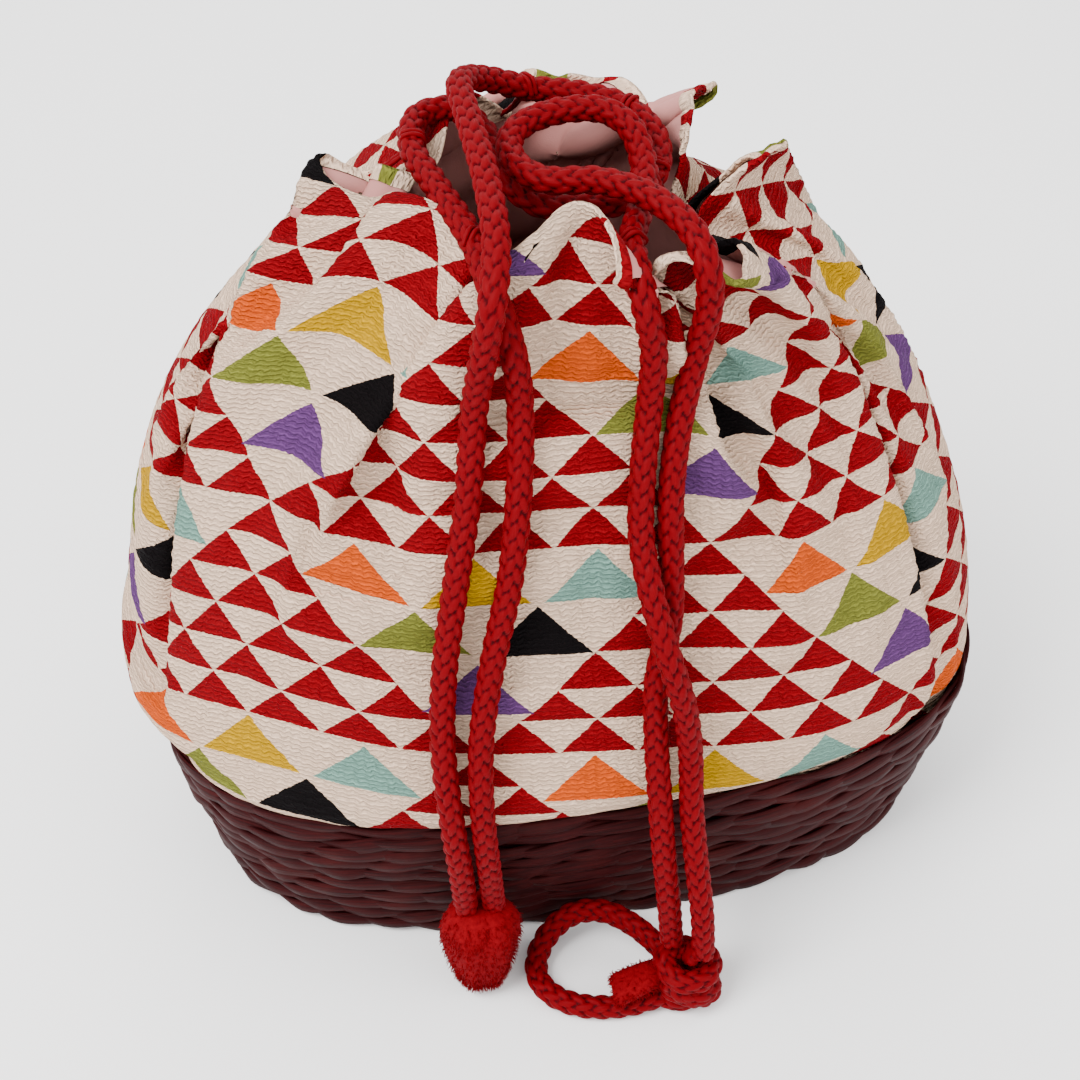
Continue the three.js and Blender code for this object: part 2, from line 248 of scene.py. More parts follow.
def grid_uv(left, right, v):
    """Per-corner UVs of a grid's faces: u at each face's two sides, and v at every point of the grid."""
    corners = [(left, v[:-1, :-1]), (right, v[:-1, 1:]), (right, v[1:, 1:]), (left, v[1:, :-1])]
    return np.stack([np.stack(np.broadcast_arrays(*pair), -1) for pair in corners], axis=2).reshape(-1, 2)


def circle(count):
    """Evenly spaced angles round a full turn."""
    return np.arange(count) / count * 2 * math.pi


def power_of(values, power):
    """A power of the values' sizes that keeps their signs."""
    return np.sign(values) * np.abs(values) ** power


def unit(vector):
    return vector / np.linalg.norm(vector)


def catmull_rom(points, per_span=24):
    """A dense centripetal Catmull-Rom curve through the points, as three.js draws it."""
    p = np.asarray(points, dtype=float)
    p = np.vstack([2 * p[0] - p[1], p, 2 * p[-1] - p[-2]])
    dense = []
    for i in range(1, len(p) - 2):
        a, b, c, d = p[i - 1:i + 3]
        t1 = np.linalg.norm(b - a) ** 0.5
        t2 = t1 + np.linalg.norm(c - b) ** 0.5
        t3 = t2 + np.linalg.norm(d - c) ** 0.5
        t = np.linspace(t1, t2, per_span, endpoint=False)[:, None]
        ab = (t1 - t) / t1 * a + t / t1 * b
        bc = (t2 - t) / (t2 - t1) * b + (t - t1) / (t2 - t1) * c
        cd = (t3 - t) / (t3 - t2) * c + (t - t2) / (t3 - t2) * d
        abc = (t2 - t) / t2 * ab + t / t2 * bc
        bcd = (t3 - t) / (t3 - t1) * bc + (t - t1) / (t3 - t1) * cd
        dense.append((t2 - t) / (t2 - t1) * abc + (t - t1) / (t2 - t1) * bcd)
    dense.append(p[-2][None])
    return np.vstack(dense)


def respace(line, step):
    """The same line with points an even distance apart, and each point's distance along it."""
    run = np.r_[0, np.cumsum(np.linalg.norm(np.diff(line, axis=0), axis=1))]
    s = np.linspace(0, run[-1], max(2, int(round(run[-1] / step)) + 1))
    return np.stack([np.interp(s, run, line[:, k]) for k in range(3)], axis=1), s


def frames_along(line):
    """Two side directions at each point of a line, carried along without twist."""
    tangent = np.gradient(line, axis=0)
    tangent /= np.linalg.norm(tangent, axis=1)[:, None]
    side = np.cross(tangent[0], (0.3, 0.2, 1.0))
    sides = []
    for direction in tangent:
        side = unit(side - direction * side.dot(direction))
        sides.append(side)
    return np.array(sides), np.cross(tangent, sides)


def tube_points(line, radius, theta):
    """Points of a round tube: rings along the line, with the radius given at every ring and angle."""
    side, other = frames_along(line)
    ring = np.cos(theta)[None, :, None] * side[:, None, :] + np.sin(theta)[None, :, None] * other[:, None, :]
    return (line[:, None, :] + radius[:, :, None] * ring).reshape(-1, 3)


# ---- camera ----
def add_camera():
    target = Vector((CAMERA_TARGET_X, 0.0, CAMERA_TARGET_HEIGHT * (cad_high[2] - cad_low[2])))
    back = Vector((math.sin(CAMERA_AZIMUTH) * math.cos(CAMERA_ELEVATION),
                   -math.cos(CAMERA_AZIMUTH) * math.cos(CAMERA_ELEVATION),
                   math.sin(CAMERA_ELEVATION)))
    data = bpy.data.cameras.new("camera")
    data.lens = CAMERA_LENS
    data.sensor_width = 36
    data.clip_start = 0.01
    camera = bpy.data.objects.new("camera", data)
    camera.location = target + back * CAMERA_DISTANCE
    camera.rotation_euler = back.to_track_quat("Z", "Y").to_euler()
    bpy.context.scene.collection.objects.link(camera)
    bpy.context.scene.camera = camera


# ---- cords ----
BRAID_COLUMNS = 8
BRAID_PITCH = 4.3 * MM
BRAID_SLANT = math.radians(24)
STITCH_HALF_LENGTH = 2.55 * MM
STITCH_HALF_WIDTH = 1.28 * MM
BRAID_RELIEF = 0.95 * MM
BRAID_PROUD = 0.2 * MM              # the stitches' crests stand this far beyond the cord's own radius
CORD_SIDES = 40
CORD_STEP = 0.52 * MM
CORD_TAPER = 0.8 * MM               # length over which a cut end narrows


def braid_height(theta, s):
    """Relief of a round braid from 0 to 1: staggered columns of slanting stitches that meet in V shapes."""
    wide = math.pi * CORD_DIAMETER / BRAID_COLUMNS
    u = theta / (2 * math.pi) * BRAID_COLUMNS
    v = s / BRAID_PITCH
    best = np.zeros(np.broadcast(u, v).shape)
    for across in (-1, 0, 1):
        column = np.floor(u) + across
        x = (u - (column + 0.5)) * wide
        lean = np.where(column % 2 == 0, 1.0, -1.0)
        stagger = v + 0.5 * (column % 2)
        y = (stagger - np.round(stagger)) * BRAID_PITCH
        for shift in (-BRAID_PITCH, 0, BRAID_PITCH):
            along = (y + shift) * math.cos(BRAID_SLANT) + lean * x * math.sin(BRAID_SLANT)
            aside = x * math.cos(BRAID_SLANT) - lean * (y + shift) * math.sin(BRAID_SLANT)
            bump = 1 - (along / STITCH_HALF_LENGTH) ** 2 - (aside / STITCH_HALF_WIDTH) ** 2
            best = np.maximum(best, np.sqrt(np.clip(bump, 0, None)))
    return best


def cord_material():
    n = Nodes("braided_cord")
    u, v = n.uv("braid")
    # u counts stitch columns, v counts stitches; fine filaments run along each slanting stitch.
    fine = n.flat_noise(u, v, 9.0, 1.6, 3.0, 0.6)
    blotch = n.object_noise(90.0)
    relief = n.node("ShaderNodeAttribute", attribute_name="relief").outputs["Fac"]
    # Painted shade: the hollows between the stitches darker than their crests.
    colour = n.mix(n.smooth(relief, 0.05, 0.75), linear(CORD_HOLLOW_SHADE), linear(CORD_RED))
    # Painted highlight: fine filament streaks lighter, as the cord's sheen.
    colour = n.mix(n.smooth(fine, 0.52, 0.78, 0.0, 0.35), colour, linear(CORD_FILAMENT_SHEEN))
    colour = n.mix(n.smooth(blotch, 0.35, 0.7, 0.0, 0.25), colour, linear(CORD_PATCH))
    n.set(Base_Color=colour, Roughness=n.smooth(fine, 0.3, 0.8, 0.62, 0.46), Specular_IOR_Level=0.04)
    n.bump(fine, 0.12 * MM, 0.5)
    return n.material


def store_relief(made, values):
    """The braid's height at each point, which the cord's finish uses to paint shade into the hollows between
    the stitches.
    """
    attribute = made.data.attributes.new("relief", "FLOAT", "POINT")
    attribute.data.foreach_set("value", values.astype(np.float32))


def braided_tube(name, route_mm, material):
    """A closed tube along a route, whose surface carries the braid's stitches, and its centre line."""
    line, s = respace(catmull_rom(np.array(route_mm) * MM), CORD_STEP)
    theta = circle(CORD_SIDES)
    height = braid_height(theta[None, :], s[:, None])
    radius = CORD_DIAMETER / 2 - BRAID_RELIEF * (1 - height) + BRAID_PROUD
    ends = np.minimum(s, s[-1] - s)
    radius = radius * (1 - 0.25 * np.clip(1 - ends / CORD_TAPER, 0, 1) ** 2)[:, None]
    points = tube_points(line, radius, theta)
    count = len(points)
    first = np.arange(CORD_SIDES)
    second = (first + 1) % CORD_SIDES
    last = count - CORD_SIDES
    start = np.stack([np.full(CORD_SIDES, count), second, first], axis=1)
    stop = np.stack([np.full(CORD_SIDES, count + 1), last + first, last + second], axis=1)
    faces = [*grid_faces(len(line), CORD_SIDES), *start, *stop]
    edges = np.arange(CORD_SIDES + 1) * (BRAID_COLUMNS / CORD_SIDES)
    stitches = np.broadcast_to((s / BRAID_PITCH)[:, None], (len(s), CORD_SIDES + 1))
    uv = np.vstack([grid_uv(edges[:-1], edges[1:], stitches), np.zeros((6 * CORD_SIDES, 2))])
    made = make_mesh(name, np.vstack([points, line[0], line[-1]]), faces, material, uv, "braid")
    store_relief(made, np.r_[height.ravel(), 1.0, 1.0])
    return made, line


add_camera()
cord_finish = cord_material()
left_cord, left_line = braided_tube("drawcord_left", LEFT_ROUTE, cord_finish)
right_cord, right_line = braided_tube("drawcord_right", RIGHT_ROUTE, cord_finish)
tail_cord, tail_line = braided_tube("tail_loop", TAIL_ROUTE, cord_finish)


# ---- the bag's cloth ----
CLOTH_AROUND = 636 * MM
HEM_PRINT = 175 * MM                # the top edge's place in the print, which counts up from the rim
CLOTH_UP = 185 * MM                 # usual length from the rim to the top edge, along the cloth
CLOTH_TUCK = 10 * MM                # hidden inside the rim
CLOTH_START = -8 * MM               # x of the front middle, where the cloth's own coordinate is 0
COLUMNS, ROWS = 160, 47

# Level sections of the bag as in the CAD part: z, half X, half Y, middle X, middle Y, power.
BAG_SECTIONS = np.array([
    (47, 108, 67, 0, 0, 2.7), (57.4, 109.4, 68.4, 0, 0, 2.7), (61, 114.6, 73.4, 0, 0, 2.65),
    (66, 117, 76, -0.5, 0, 2.6), (78, 116, 74, -2, 0, 2.5), (100, 109, 68.3, -3.7, 0, 2.4),
    (124, 101, 61, -6, 0, 2.25), (148, 91.5, 54.7, -7.6, 0.2, 2.1), (170, 78, 48, -8, 1, 2.0),
    (190, 58, 42, -6, 0, 2.0), (214, 36, 36, -3, 0, 2.0),
])

# The gathered top edge: place along the cloth, then x, y, z, and how firmly it is held there (1 = sewn loop).
TOP_EDGE = [
    (-227, -8, 34, 197, 1), (-216, -18, 31.5, 205, 0.6), (-205, -24, 25, 206, 0.6), (-190, -27, 14, 202, 0.5),
    (-175, -32, 5, 199, 0.5), (-160, -39, 1, 197.5, 0.5), (-148, -43, 4, 198, 0.5),
    (-139, -46, 9, 198, 1), (-125, -60, 7, 204, 0.7),
    (-104, -47.6, -8, 200, 0.6), (-92, -41, -13, 203, 0.6), (-76, -28, -22, 202.5, 0.6),
    (-62, -22, -34, 197, 0.3), (-45, -26, -27, 192, 1), (-28, -20, -44, 203, 0.6), (-16, -13, -41, 210, 0.6),
    (-6, -5, -37, 213, 0.7), (6, 0, -43, 209, 0.6), (20, 3, -51, 200, 0.6), (34, 4, -46, 194, 0.3),
    (45, 9, -36, 192, 1), (57, 11, -44, 203, 0.6), (70, 19, -47, 201, 0.5), (82, 28, -47, 195, 0.6),
    (91, 32, -43.5, 198, 0.6), (99, 29, -39.5, 201, 0.6), (109, 22, -35.5, 200, 0.5),
    (122, 30, -27, 194, 0.3),
    (136, 24, -14, 190, 1), (158, 38, -9, 197.5, 0.6), (178, 49, -3, 201, 0.7), (184, 49, -1.5, 201, 0.7),
    (204, 38, -4.5, 199, 0.6), (227, 23, -6, 190, 1), (240, 27, 0, 196, 0.5), (258, 30, 8, 202, 0.6),
    (276, 32.5, 15, 206, 0.7), (292, 40, 22, 203, 0.5), (306, 36, 29, 199, 0.4), (318, 25, 24, 194, 1),
    (336, 26, 40, 195, 0.4), (363, 10, 50, 194, 0.4), (390, -6, 46, 195, 0.4),
]

# Where the cloth stands up in a crest behind its hem, because the flap folds forward into the mouth.
CREST_LIFT = [(-227, 2), (-205, 8), (-180, 9), (-160, 6), (-139, 1), (-90, 2), (0, 0), (90, 0),
              (180, 1), (300, 0)]
LOOP_PLACES = (-139, -45, 45, 136, 227, 318, 409)

# Folds: place at the top edge, place low down, and how much of the low folding they take.
FOLDS = [(-139, -118, 1.0), (-45, -45, 0.0), (45, 45, 0.0), (136, 104, 1.0),
         (227, 205, 1.0), (318, 292, 1.0), (409, 432, 1.0)]
FOLD_HALF_WIDTH = 15.0

# The cloth is cut longer on the left than on the right: place along it, then the extra length at the rim.
EXTRA_LENGTH = [(-200, 14), (-100, 18), (-70, 18), (-50, 15), (-4, 11), (18, 8), (36, 4), (52, 0.5),
                (85, -4), (140, -4), (220, 0), (320, 7)]

# The hem isn't level in the print: place along the cloth, then how far below HEM_PRINT the hem lies.
HEM_DROP = [(-139, -3), (-118, -3), (-100, 5), (-82, 13), (-60, 11), (-32, 6.5), (22, 6.5), (62, 0), (136, 0),
            (227, 0), (318, 0)]

# How the cloth is settled.
ROUNDS = 600
HELD_ROWS = 4                       # rows inside the rim, which stay where they are
SEWN = 0.93                         # a hold above this pins the hem
SLANT_STIFFNESS, ROW_STIFFNESS = 0.25, 0.9
EVEN_ACROSS, EVEN_UP = 0.07, 0.10   # how strongly each point is drawn towards the middle of its neighbours
SAG = 0.004 * MM                    # how far the top rows sink in each round
FORM_INSIDE = -7 * MM               # the cloth stays between the bag's sections offset by this
FORM_OUTSIDE, FORM_GROWTH = 1.5, 3  # and, in mm, by this, which grows while settling
PLY_CLEAR_ROWS, ROPE_CLEAR_ROWS = 16, 34    # top rows kept clear of each other and of the cords
SETTLING_CLEAR, ROPE_CLEAR = 4.2 * MM, 4.0 * MM    # cloth to a cord's centre line, while settling and after
PLY_CLEAR = 3.0 * MM                # between separate folds


def section_at(z_mm):
    """Half sizes, middle and power of the bag's level section at each height; sizes in metres."""
    values = [np.interp(z_mm, BAG_SECTIONS[:, 0], BAG_SECTIONS[:, k]) for k in range(1, 6)]
    return [v * MM for v in values[:4]] + [values[4]]


def oval(half_x, half_y, power, count, start_x=0.0):
    """Evenly spaced points round a superellipse, from the front at start_x towards +X."""
    t = np.linspace(0, 2 * math.pi, 4001) - math.pi / 2
    c, s = np.cos(t), np.sin(t)
    line = np.stack([half_x * np.sign(c) * np.abs(c) ** (2 / power),
                     half_y * np.sign(s) * np.abs(s) ** (2 / power)], axis=1)
    run = np.r_[0, np.cumsum(np.linalg.norm(np.diff(line, axis=0), axis=1))]
    wanted = (np.arange(count) / count + start_x / run[-1]) % 1 * run[-1]
    return np.stack([np.interp(wanted, run, line[:, k]) for k in range(2)], axis=1)


def closed_curve(places, values, wanted, around):
    """Smooth closed interpolation (periodic Catmull-Rom) of values given at rising places."""
    values = np.asarray(values, dtype=float)
    places = np.asarray(places, dtype=float)
    count = len(places)
    wanted = (wanted - places[0]) % around + places[0]
    ends = np.append(places, places[0] + around)
    k = np.clip(np.searchsorted(ends, wanted, side="right") - 1, 0, count - 1)
    t = ((wanted - ends[k]) / (ends[k + 1] - ends[k]))[:, None]
    a, b, c, d = (values[(k + shift) % count] for shift in (-1, 0, 1, 2))
    return 0.5 * (2 * b + (c - a) * t + (2 * a - 5 * b + 4 * c - d) * t ** 2
                  + (3 * b - a - 3 * c + d) * t ** 3)


def along_cloth(table, columns=COLUMNS):
    """The values of a table whose first entry is a place along the cloth, at each column."""
    table = np.array(table, dtype=float)
    places = np.arange(columns) / columns * CLOTH_AROUND / MM
    return closed_curve(table[:, 0], table[:, 1:], places, CLOTH_AROUND / MM)


def hem_heights(columns):
    """The hem's height in the print at each column, in metres."""
    return HEM_PRINT - along_cloth(HEM_DROP, columns)[:, 0] * MM


def cloth_lengths():
    """Length of the cloth from its hidden lower edge to its hem at each column, in metres."""
    return hem_heights(COLUMNS) + CLOTH_TUCK + along_cloth(EXTRA_LENGTH)[:, 0] * MM


def folded_level(z, top_share):
    """A level ring of the cloth: smooth panels, with the spare cloth tucked in at the folds."""
    count = 2400
    half_x, half_y, mid_x, mid_y, power = section_at(z)
    dense = oval(half_x, half_y, power, count, CLOTH_START - mid_x) + (mid_x, mid_y)
    around = np.linalg.norm(dense - np.roll(dense, 1, 0), axis=1).sum()
    total = CLOTH_AROUND / MM
    s = np.arange(COLUMNS) / COLUMNS * CLOTH_AROUND / MM
    spare = max(0.0, (CLOTH_AROUND - around) / MM)
    shares = np.array([(1 - top_share) * low + top_share for _, _, low in FOLDS])
    density = np.ones(COLUMNS)
    tuck = np.zeros(COLUMNS)
    for (top_place, low_place, _), share in zip(FOLDS, shares / shares.sum()):
        place = (1 - top_share) * low_place + top_share * top_place
        gap = (s - place + total / 2) % total - total / 2
        taken = share * spare
        density -= taken / (FOLD_HALF_WIDTH * math.sqrt(math.pi)) * np.exp(-(gap / FOLD_HALF_WIDTH) ** 2)
        tuck += 0.42 * taken * np.exp(-(gap / (0.55 * FOLD_HALF_WIDTH)) ** 2)
    density = np.maximum(density, 0.06)
    run = np.cumsum(density)
    run = (run - run[0]) / (run[-1] + density[0] - run[0]) * count
    closed = np.vstack([dense, dense[:1]])
    flat = np.stack([np.interp(run, np.arange(count + 1), closed[:, k]) for k in range(2)], -1)
    inward = np.array([mid_x, mid_y]) - flat
    inward /= np.linalg.norm(inward, axis=1)[:, None]
    flat = flat + inward * tuck[:, None] * MM
    return np.c_[flat, np.full(COLUMNS, z * MM)]


def first_shape():
    """The cloth roughly in place: level sections below, folds growing towards the gathered top edge."""
    edge = along_cloth(TOP_EDGE)
    top, hold = edge[:, :3] * MM, edge[:, 3]
    smooth_top = top.copy()
    for _ in range(60):
        smooth_top = (np.roll(smooth_top, 1, 0) + 2 * smooth_top + np.roll(smooth_top, -1, 0)) / 4
    wave = top - smooth_top
    heights = (47, 57.4, 61, 66, 78, 100, 124, 148, 168, 186)
    shares = (0, 0, 0, 0, 0, 0, 0, 0.1, 0.5, 1.0)
    levels = [folded_level(z, share) for z, share in zip(heights, shares)]
    levels[-2] = levels[-2] + 0.3 * wave
    levels[-1] = 0.6 * levels[-1] + 0.4 * smooth_top + 0.5 * wave
    crest = (levels[-1] + top) / 2
    crest[:, 2] += along_cloth(CREST_LIFT)[:, 0] * MM
    levels = np.array(levels + [crest, top])
    step = np.linalg.norm(np.diff(levels, axis=0), axis=2).mean(axis=1)
    run = np.r_[0, np.cumsum(step)]
    wanted = np.linspace(0, run[-1], ROWS)
    points = np.stack([[np.interp(wanted, run, levels[:, c, k]) for c in range(COLUMNS)]
                       for k in range(3)], -1)
    return points.transpose(1, 0, 2), top, hold


def pull_together(first, second, rest, stiffness, first_free, second_free):
    """One pass of distance constraints between two equal blocks of points, in place."""
    gap = second - first
    length = np.linalg.norm(gap, axis=-1, keepdims=True)
    share = stiffness * (length - rest) / np.maximum(length, 1e-6)
    total = np.maximum(first_free + second_free, 1e-6)
    first += gap * share * (first_free / total)
    second -= gap * share * (second_free / total)


def keep_to_form(points, offset, outside):
    """Moves points level until they lie outside, or else inside, the bag's section made larger by offset."""
    half_x, half_y, mid_x, mid_y, power = section_at(points[..., 2] / MM)
    half_x, half_y = half_x + offset, half_y + offset
    x, y = points[..., 0] - mid_x, points[..., 1] - mid_y
    reach = (np.abs(x / half_x) ** power + np.abs(y / half_y) ** power) ** (1 / power)
    scale = np.where(reach < 1 if outside else reach > 1, 1 / np.maximum(reach, 0.2), 1.0)
    points[..., 0] = mid_x + x * scale
    points[..., 1] = mid_y + y * scale


def clear_of_lines(points, lines, distance):
    """Pushes points away from the cords' centrelines until they are at least distance from them."""
    flat = points.reshape(-1, 3)
    for line in lines:
        for start in range(0, len(line), 400):
            part = line[start:start + 400]
            low, high = part.min(axis=0) - distance, part.max(axis=0) + distance
            near = np.nonzero(((flat > low) & (flat < high)).all(axis=1))[0]
            if not len(near):
                continue
            gap = flat[near][:, None, :] - part[None]
            length = np.linalg.norm(gap, axis=2)
            closest = length.argmin(axis=1)
            shortest = length[np.arange(len(near)), closest]
            push = np.clip(distance - shortest, 0, None) / np.maximum(shortest, 1e-6)
            flat[near] += gap[np.arange(len(near)), closest] * push[:, None]


def spread_apart(points, first_row):
    """Keeps separate folds of the cloth from lying in each other."""
    flat = points[first_row:].reshape(-1, 3)
    tree = KDTree(len(flat))
    for index, place in enumerate(flat):
        tree.insert(place, index)
    tree.balance()
    moves = np.zeros_like(flat)
    for index, place in enumerate(flat):
        row, column = divmod(index, COLUMNS)
        for other, number, gap in tree.find_range(place, PLY_CLEAR):
            other_row, other_column = divmod(number, COLUMNS)
            apart = abs(column - other_column)
            if abs(row - other_row) + min(apart, COLUMNS - apart) < 3 or gap < 1e-7:
                continue
            moves[index] += (place - np.array(other)) / gap * (PLY_CLEAR - gap) * 0.25
    size = np.linalg.norm(moves, axis=1, keepdims=True)
    flat += moves * np.minimum(1, 0.6 * MM / np.maximum(size, 1e-9))


def hem_spacing(top):
    """Rest length between neighbours in each row: even, but eased near the hem where it is pleated tight."""
    even = CLOTH_AROUND / COLUMNS
    shown = np.linalg.norm(np.roll(top, -1, axis=0) - top, axis=1)
    shown = (np.roll(shown, 1) + shown + np.roll(shown, -1)) / 3
    eased = np.minimum(even, 1.12 * shown)
    near_hem = np.clip((np.arange(ROWS) - (ROWS - 9)) / 6, 0, 1)[:, None]
    return (even + (eased - even)[None] * near_hem)[..., None]


def settle(points, top, hold, lines):
    """Lets the cloth take its own size: a tube of the true width and height, held at its sewn loops."""
    across = hem_spacing(top)
    up = (cloth_lengths() / (ROWS - 1))[None, :, None]
    slant = math.hypot(CLOTH_AROUND / COLUMNS, (CLOTH_UP + CLOTH_TUCK) / (ROWS - 1))
    free = np.ones((ROWS, COLUMNS, 1))
    free[:HELD_ROWS] = 0
    sewn = hold > SEWN
    free[-1, sewn] = 0
    firm = np.where(sewn, 1.0, 0.10 * np.clip(hold, 0, 1))[:, None]
    for turn in range(ROUNDS):
        for shift in (0, 1):
            points = np.roll(points, -shift, axis=1)
            free = np.roll(free, -shift, axis=1)
            pull_together(points[:, 0::2], points[:, 1::2], across[:, shift::2], ROW_STIFFNESS,
                          free[:, 0::2], free[:, 1::2])
            pull_together(points[:-1, 0::2], points[1:, 1::2], slant, SLANT_STIFFNESS,
                          free[:-1, 0::2], free[1:, 1::2])
            pull_together(points[1:, 0::2], points[:-1, 1::2], slant, SLANT_STIFFNESS,
                          free[1:, 0::2], free[:-1, 1::2])
            points = np.roll(points, shift, axis=1)
            free = np.roll(free, shift, axis=1)
        for start in (0, 1):
            stop = ROWS - (ROWS - start) % 2
            pull_together(points[start:stop:2], points[start + 1:stop:2], up, ROW_STIFFNESS,
                          free[start:stop:2], free[start + 1:stop:2])
        bent = (np.roll(points, 1, axis=1) + np.roll(points, -1, axis=1)) / 2
        points += (bent - points) * EVEN_ACROSS * free
        tall = points.copy()
        tall[1:-1] = (points[:-2] + points[2:]) / 2
        points += (tall - points) * EVEN_UP * free
        points[-1] += (top - points[-1]) * firm * free[-1]
        points[-3:, :, 2] -= SAG
        keep_to_form(points[HELD_ROWS:ROWS - 8], FORM_INSIDE, outside=True)
        reach = (FORM_OUTSIDE + FORM_GROWTH * (turn / ROUNDS)) * MM
        keep_to_form(points[HELD_ROWS:ROWS - 14], reach, outside=False)
        if turn % 10 == 9:
            clear_of_lines(points[ROWS - ROPE_CLEAR_ROWS:], lines, SETTLING_CLEAR)
        if turn % 40 == 39:
            spread_apart(points, ROWS - PLY_CLEAR_ROWS)
    clear_of_lines(points, lines, ROPE_CLEAR)
    return points


def spline_weights(count, times, closed):
    """Rows of a cubic B-spline that refines count points, times finer."""
    places = np.arange(count * times if closed else (count - 1) * times + 1) / times
    base = np.floor(places).astype(int)
    t = places - base
    weights = ((1 - t) ** 3, 3 * t ** 3 - 6 * t ** 2 + 4, -3 * t ** 3 + 3 * t ** 2 + 3 * t + 1, t ** 3)
    matrix = np.zeros((len(places), count))
    for shift, weight in zip((-1, 0, 1, 2), weights):
        column = (base + shift) % count if closed else np.clip(base + shift, 0, count - 1)
        np.add.at(matrix, (np.arange(len(places)), column), weight / 6)
    return matrix


def refine(points, rows_times, columns_times):
    """The same cloth on a finer grid, smoothly curved."""
    up = spline_weights(points.shape[0], rows_times, False)
    across = spline_weights(points.shape[1], columns_times, True)
    return np.einsum("ri,cj,ijk->rck", up, across, points, optimize=True)


def grid_normals(points):
    """Outward unit normals of a closed grid of points."""
    across = np.roll(points, -1, axis=1) - np.roll(points, 1, axis=1)
    up = np.gradient(points, axis=0)
    normal = np.cross(across, up)
    return normal / np.maximum(np.linalg.norm(normal, axis=2, keepdims=True), 1e-12)


def cloth_uv(from_hem, columns):
    """Per-corner UVs, in units of 0.1 m: u is the place along the cloth, with the seam at the back, and v the
    height in the print. from_hem is each row's distance below the hem as a share of the cloth's length."""
    s = np.arange(columns + 1) / columns
    lengths = cloth_lengths()
    length = np.interp(s * COLUMNS, np.arange(COLUMNS + 1), np.append(lengths, lengths[0]))
    hem = hem_heights(columns)
    v = (np.append(hem, hem[0]) - from_hem[:, None] * length[None]) * 10
    left, right = s[:-1], s[1:]
    behind = (left >= 0.5).astype(float)
    return grid_uv((left - behind) * CLOTH_AROUND * 10, (right - behind) * CLOTH_AROUND * 10, v)


# The print, in millimetres: big upright triangles of SMALL_COUNT rows of small red ones, and between them
# upturned ones with six coloured triangles, whose middles, bases and half width count in small ones.
FIELD_WIDE, FIELD_HIGH = 114.0, 59.5
FIELD_PLACE, FIELD_FOOT = 32.0, 21.0
SMALL_COUNT = 6.0
SMALL_HALF, SMALL_GAP = 0.496, 0.02
COLOURED_HALF = 0.70
COLOURED = [(-1.55, 4.5, ORANGE), (0, 4.5, YELLOW), (1.55, 4.5, AQUA),
            (-0.775, 2.98, GREEN), (0.775, 2.98, BLACK), (0, 1.3, PURPLE)]
RAGGED = 0.6                        # how far the printed edges wander


def print_material():
    """Crepe cotton: cream, with big triangles of small red ones and, between them, six coloured ones."""
    n = Nodes("printed_crepe")
    u, v = n.uv("cloth")
    s = n.times(u, 100.0)
    h = n.times(v, 100.0)
    ragged = n.noise(n.combine(s, h), 1.3, 1.0)
    ragged_up = n.noise(n.combine(h, s), 1.1, 1.0)
    s = n.plus(s, n.math("MULTIPLY_ADD", ragged, RAGGED, -RAGGED / 2))
    h = n.plus(h, n.math("MULTIPLY_ADD", ragged_up, RAGGED, -RAGGED / 2))
    level = n.math("DIVIDE", n.minus(h, FIELD_FOOT - 2 * FIELD_HIGH), FIELD_HIGH)
    row = n.math("FLOOR", level)
    part = n.times(n.minus(level, row), SMALL_COUNT)
    shifted = n.minus(s, n.math("MULTIPLY_ADD", row, -FIELD_WIDE / 2, FIELD_PLACE + FIELD_WIDE / 2))
    place = n.math("DIVIDE", shifted, FIELD_WIDE)
    across = n.times(n.minus(place, n.math("ROUND", place)), SMALL_COUNT)
    in_field = n.math("LESS_THAN", n.math("ABSOLUTE", across), n.times(part, 0.5))
    small_row = n.math("FLOOR", part)
    small_up = n.minus(part, small_row)
    small_x = n.math("MULTIPLY_ADD", small_row, -0.5, n.times(place, SMALL_COUNT))
    small_x = n.math("ABSOLUTE", n.minus(n.math("FRACT", small_x), 0.5))
    small = n.math("LESS_THAN", small_x, n.math("MULTIPLY_ADD", small_up, -0.5, SMALL_HALF))
    small = n.times(small, n.math("GREATER_THAN", small_up, SMALL_GAP))
    small = n.times(small, n.minus(1.0, in_field))
    colour = n.mix(small, linear(CREAM), linear(RED))
    for middle, base, tint in COLOURED:
        rise = n.minus(part, base)
        reach = n.math("MULTIPLY_ADD", rise, -0.5, COLOURED_HALF)
        inside = n.math("LESS_THAN", n.math("ABSOLUTE", n.minus(across, middle)), reach)
        inside = n.times(inside, n.math("GREATER_THAN", rise, 0.0))
        colour = n.mix(inside, colour, linear(tint))
    # Crepe: fine level ripples that wander up and down, painted lighter on their crests and darker in their
    # valleys as light and shade.
    wander = n.flat_noise(s, h, 0.35, 0.22, 2.0, 0.6)
    zigzag = n.math("SINE", n.times(s, 2.4))
    phase = n.plus(n.plus(n.times(h, 4.6), n.times(wander, 9.0)), n.times(zigzag, 0.8))
    ripple = n.math("MULTIPLY_ADD", n.math("SINE", phase), 0.5, 0.5)
    thread = n.flat_noise(s, h, 2.2, 2.2, 2.0, 0.6)
    patch = n.flat_noise(s, h, 0.05, 0.05)
    # Painted light and shade from the ripples, plus real uneven tone from the thread and patch noise.
    ripple_shade_and_tone = n.math("MULTIPLY_ADD", ripple, 0.26, 0.81)
    ripple_shade_and_tone = n.math("MULTIPLY_ADD", n.minus(thread, 0.5), 0.16, ripple_shade_and_tone)
    ripple_shade_and_tone = n.math("MULTIPLY_ADD", n.minus(patch, 0.5), 0.12, ripple_shade_and_tone)
    tone = n.node("ShaderNodeHueSaturation")
    n.feed(colour, tone.inputs["Color"])
    n.feed(ripple_shade_and_tone, tone.inputs["Value"])
    n.set(Base_Color=tone.outputs[0], Roughness=0.9, Specular_IOR_Level=0.05)
    n.bump(n.plus(ripple, n.times(thread, 0.5)), 0.75 * MM)
    return n.material


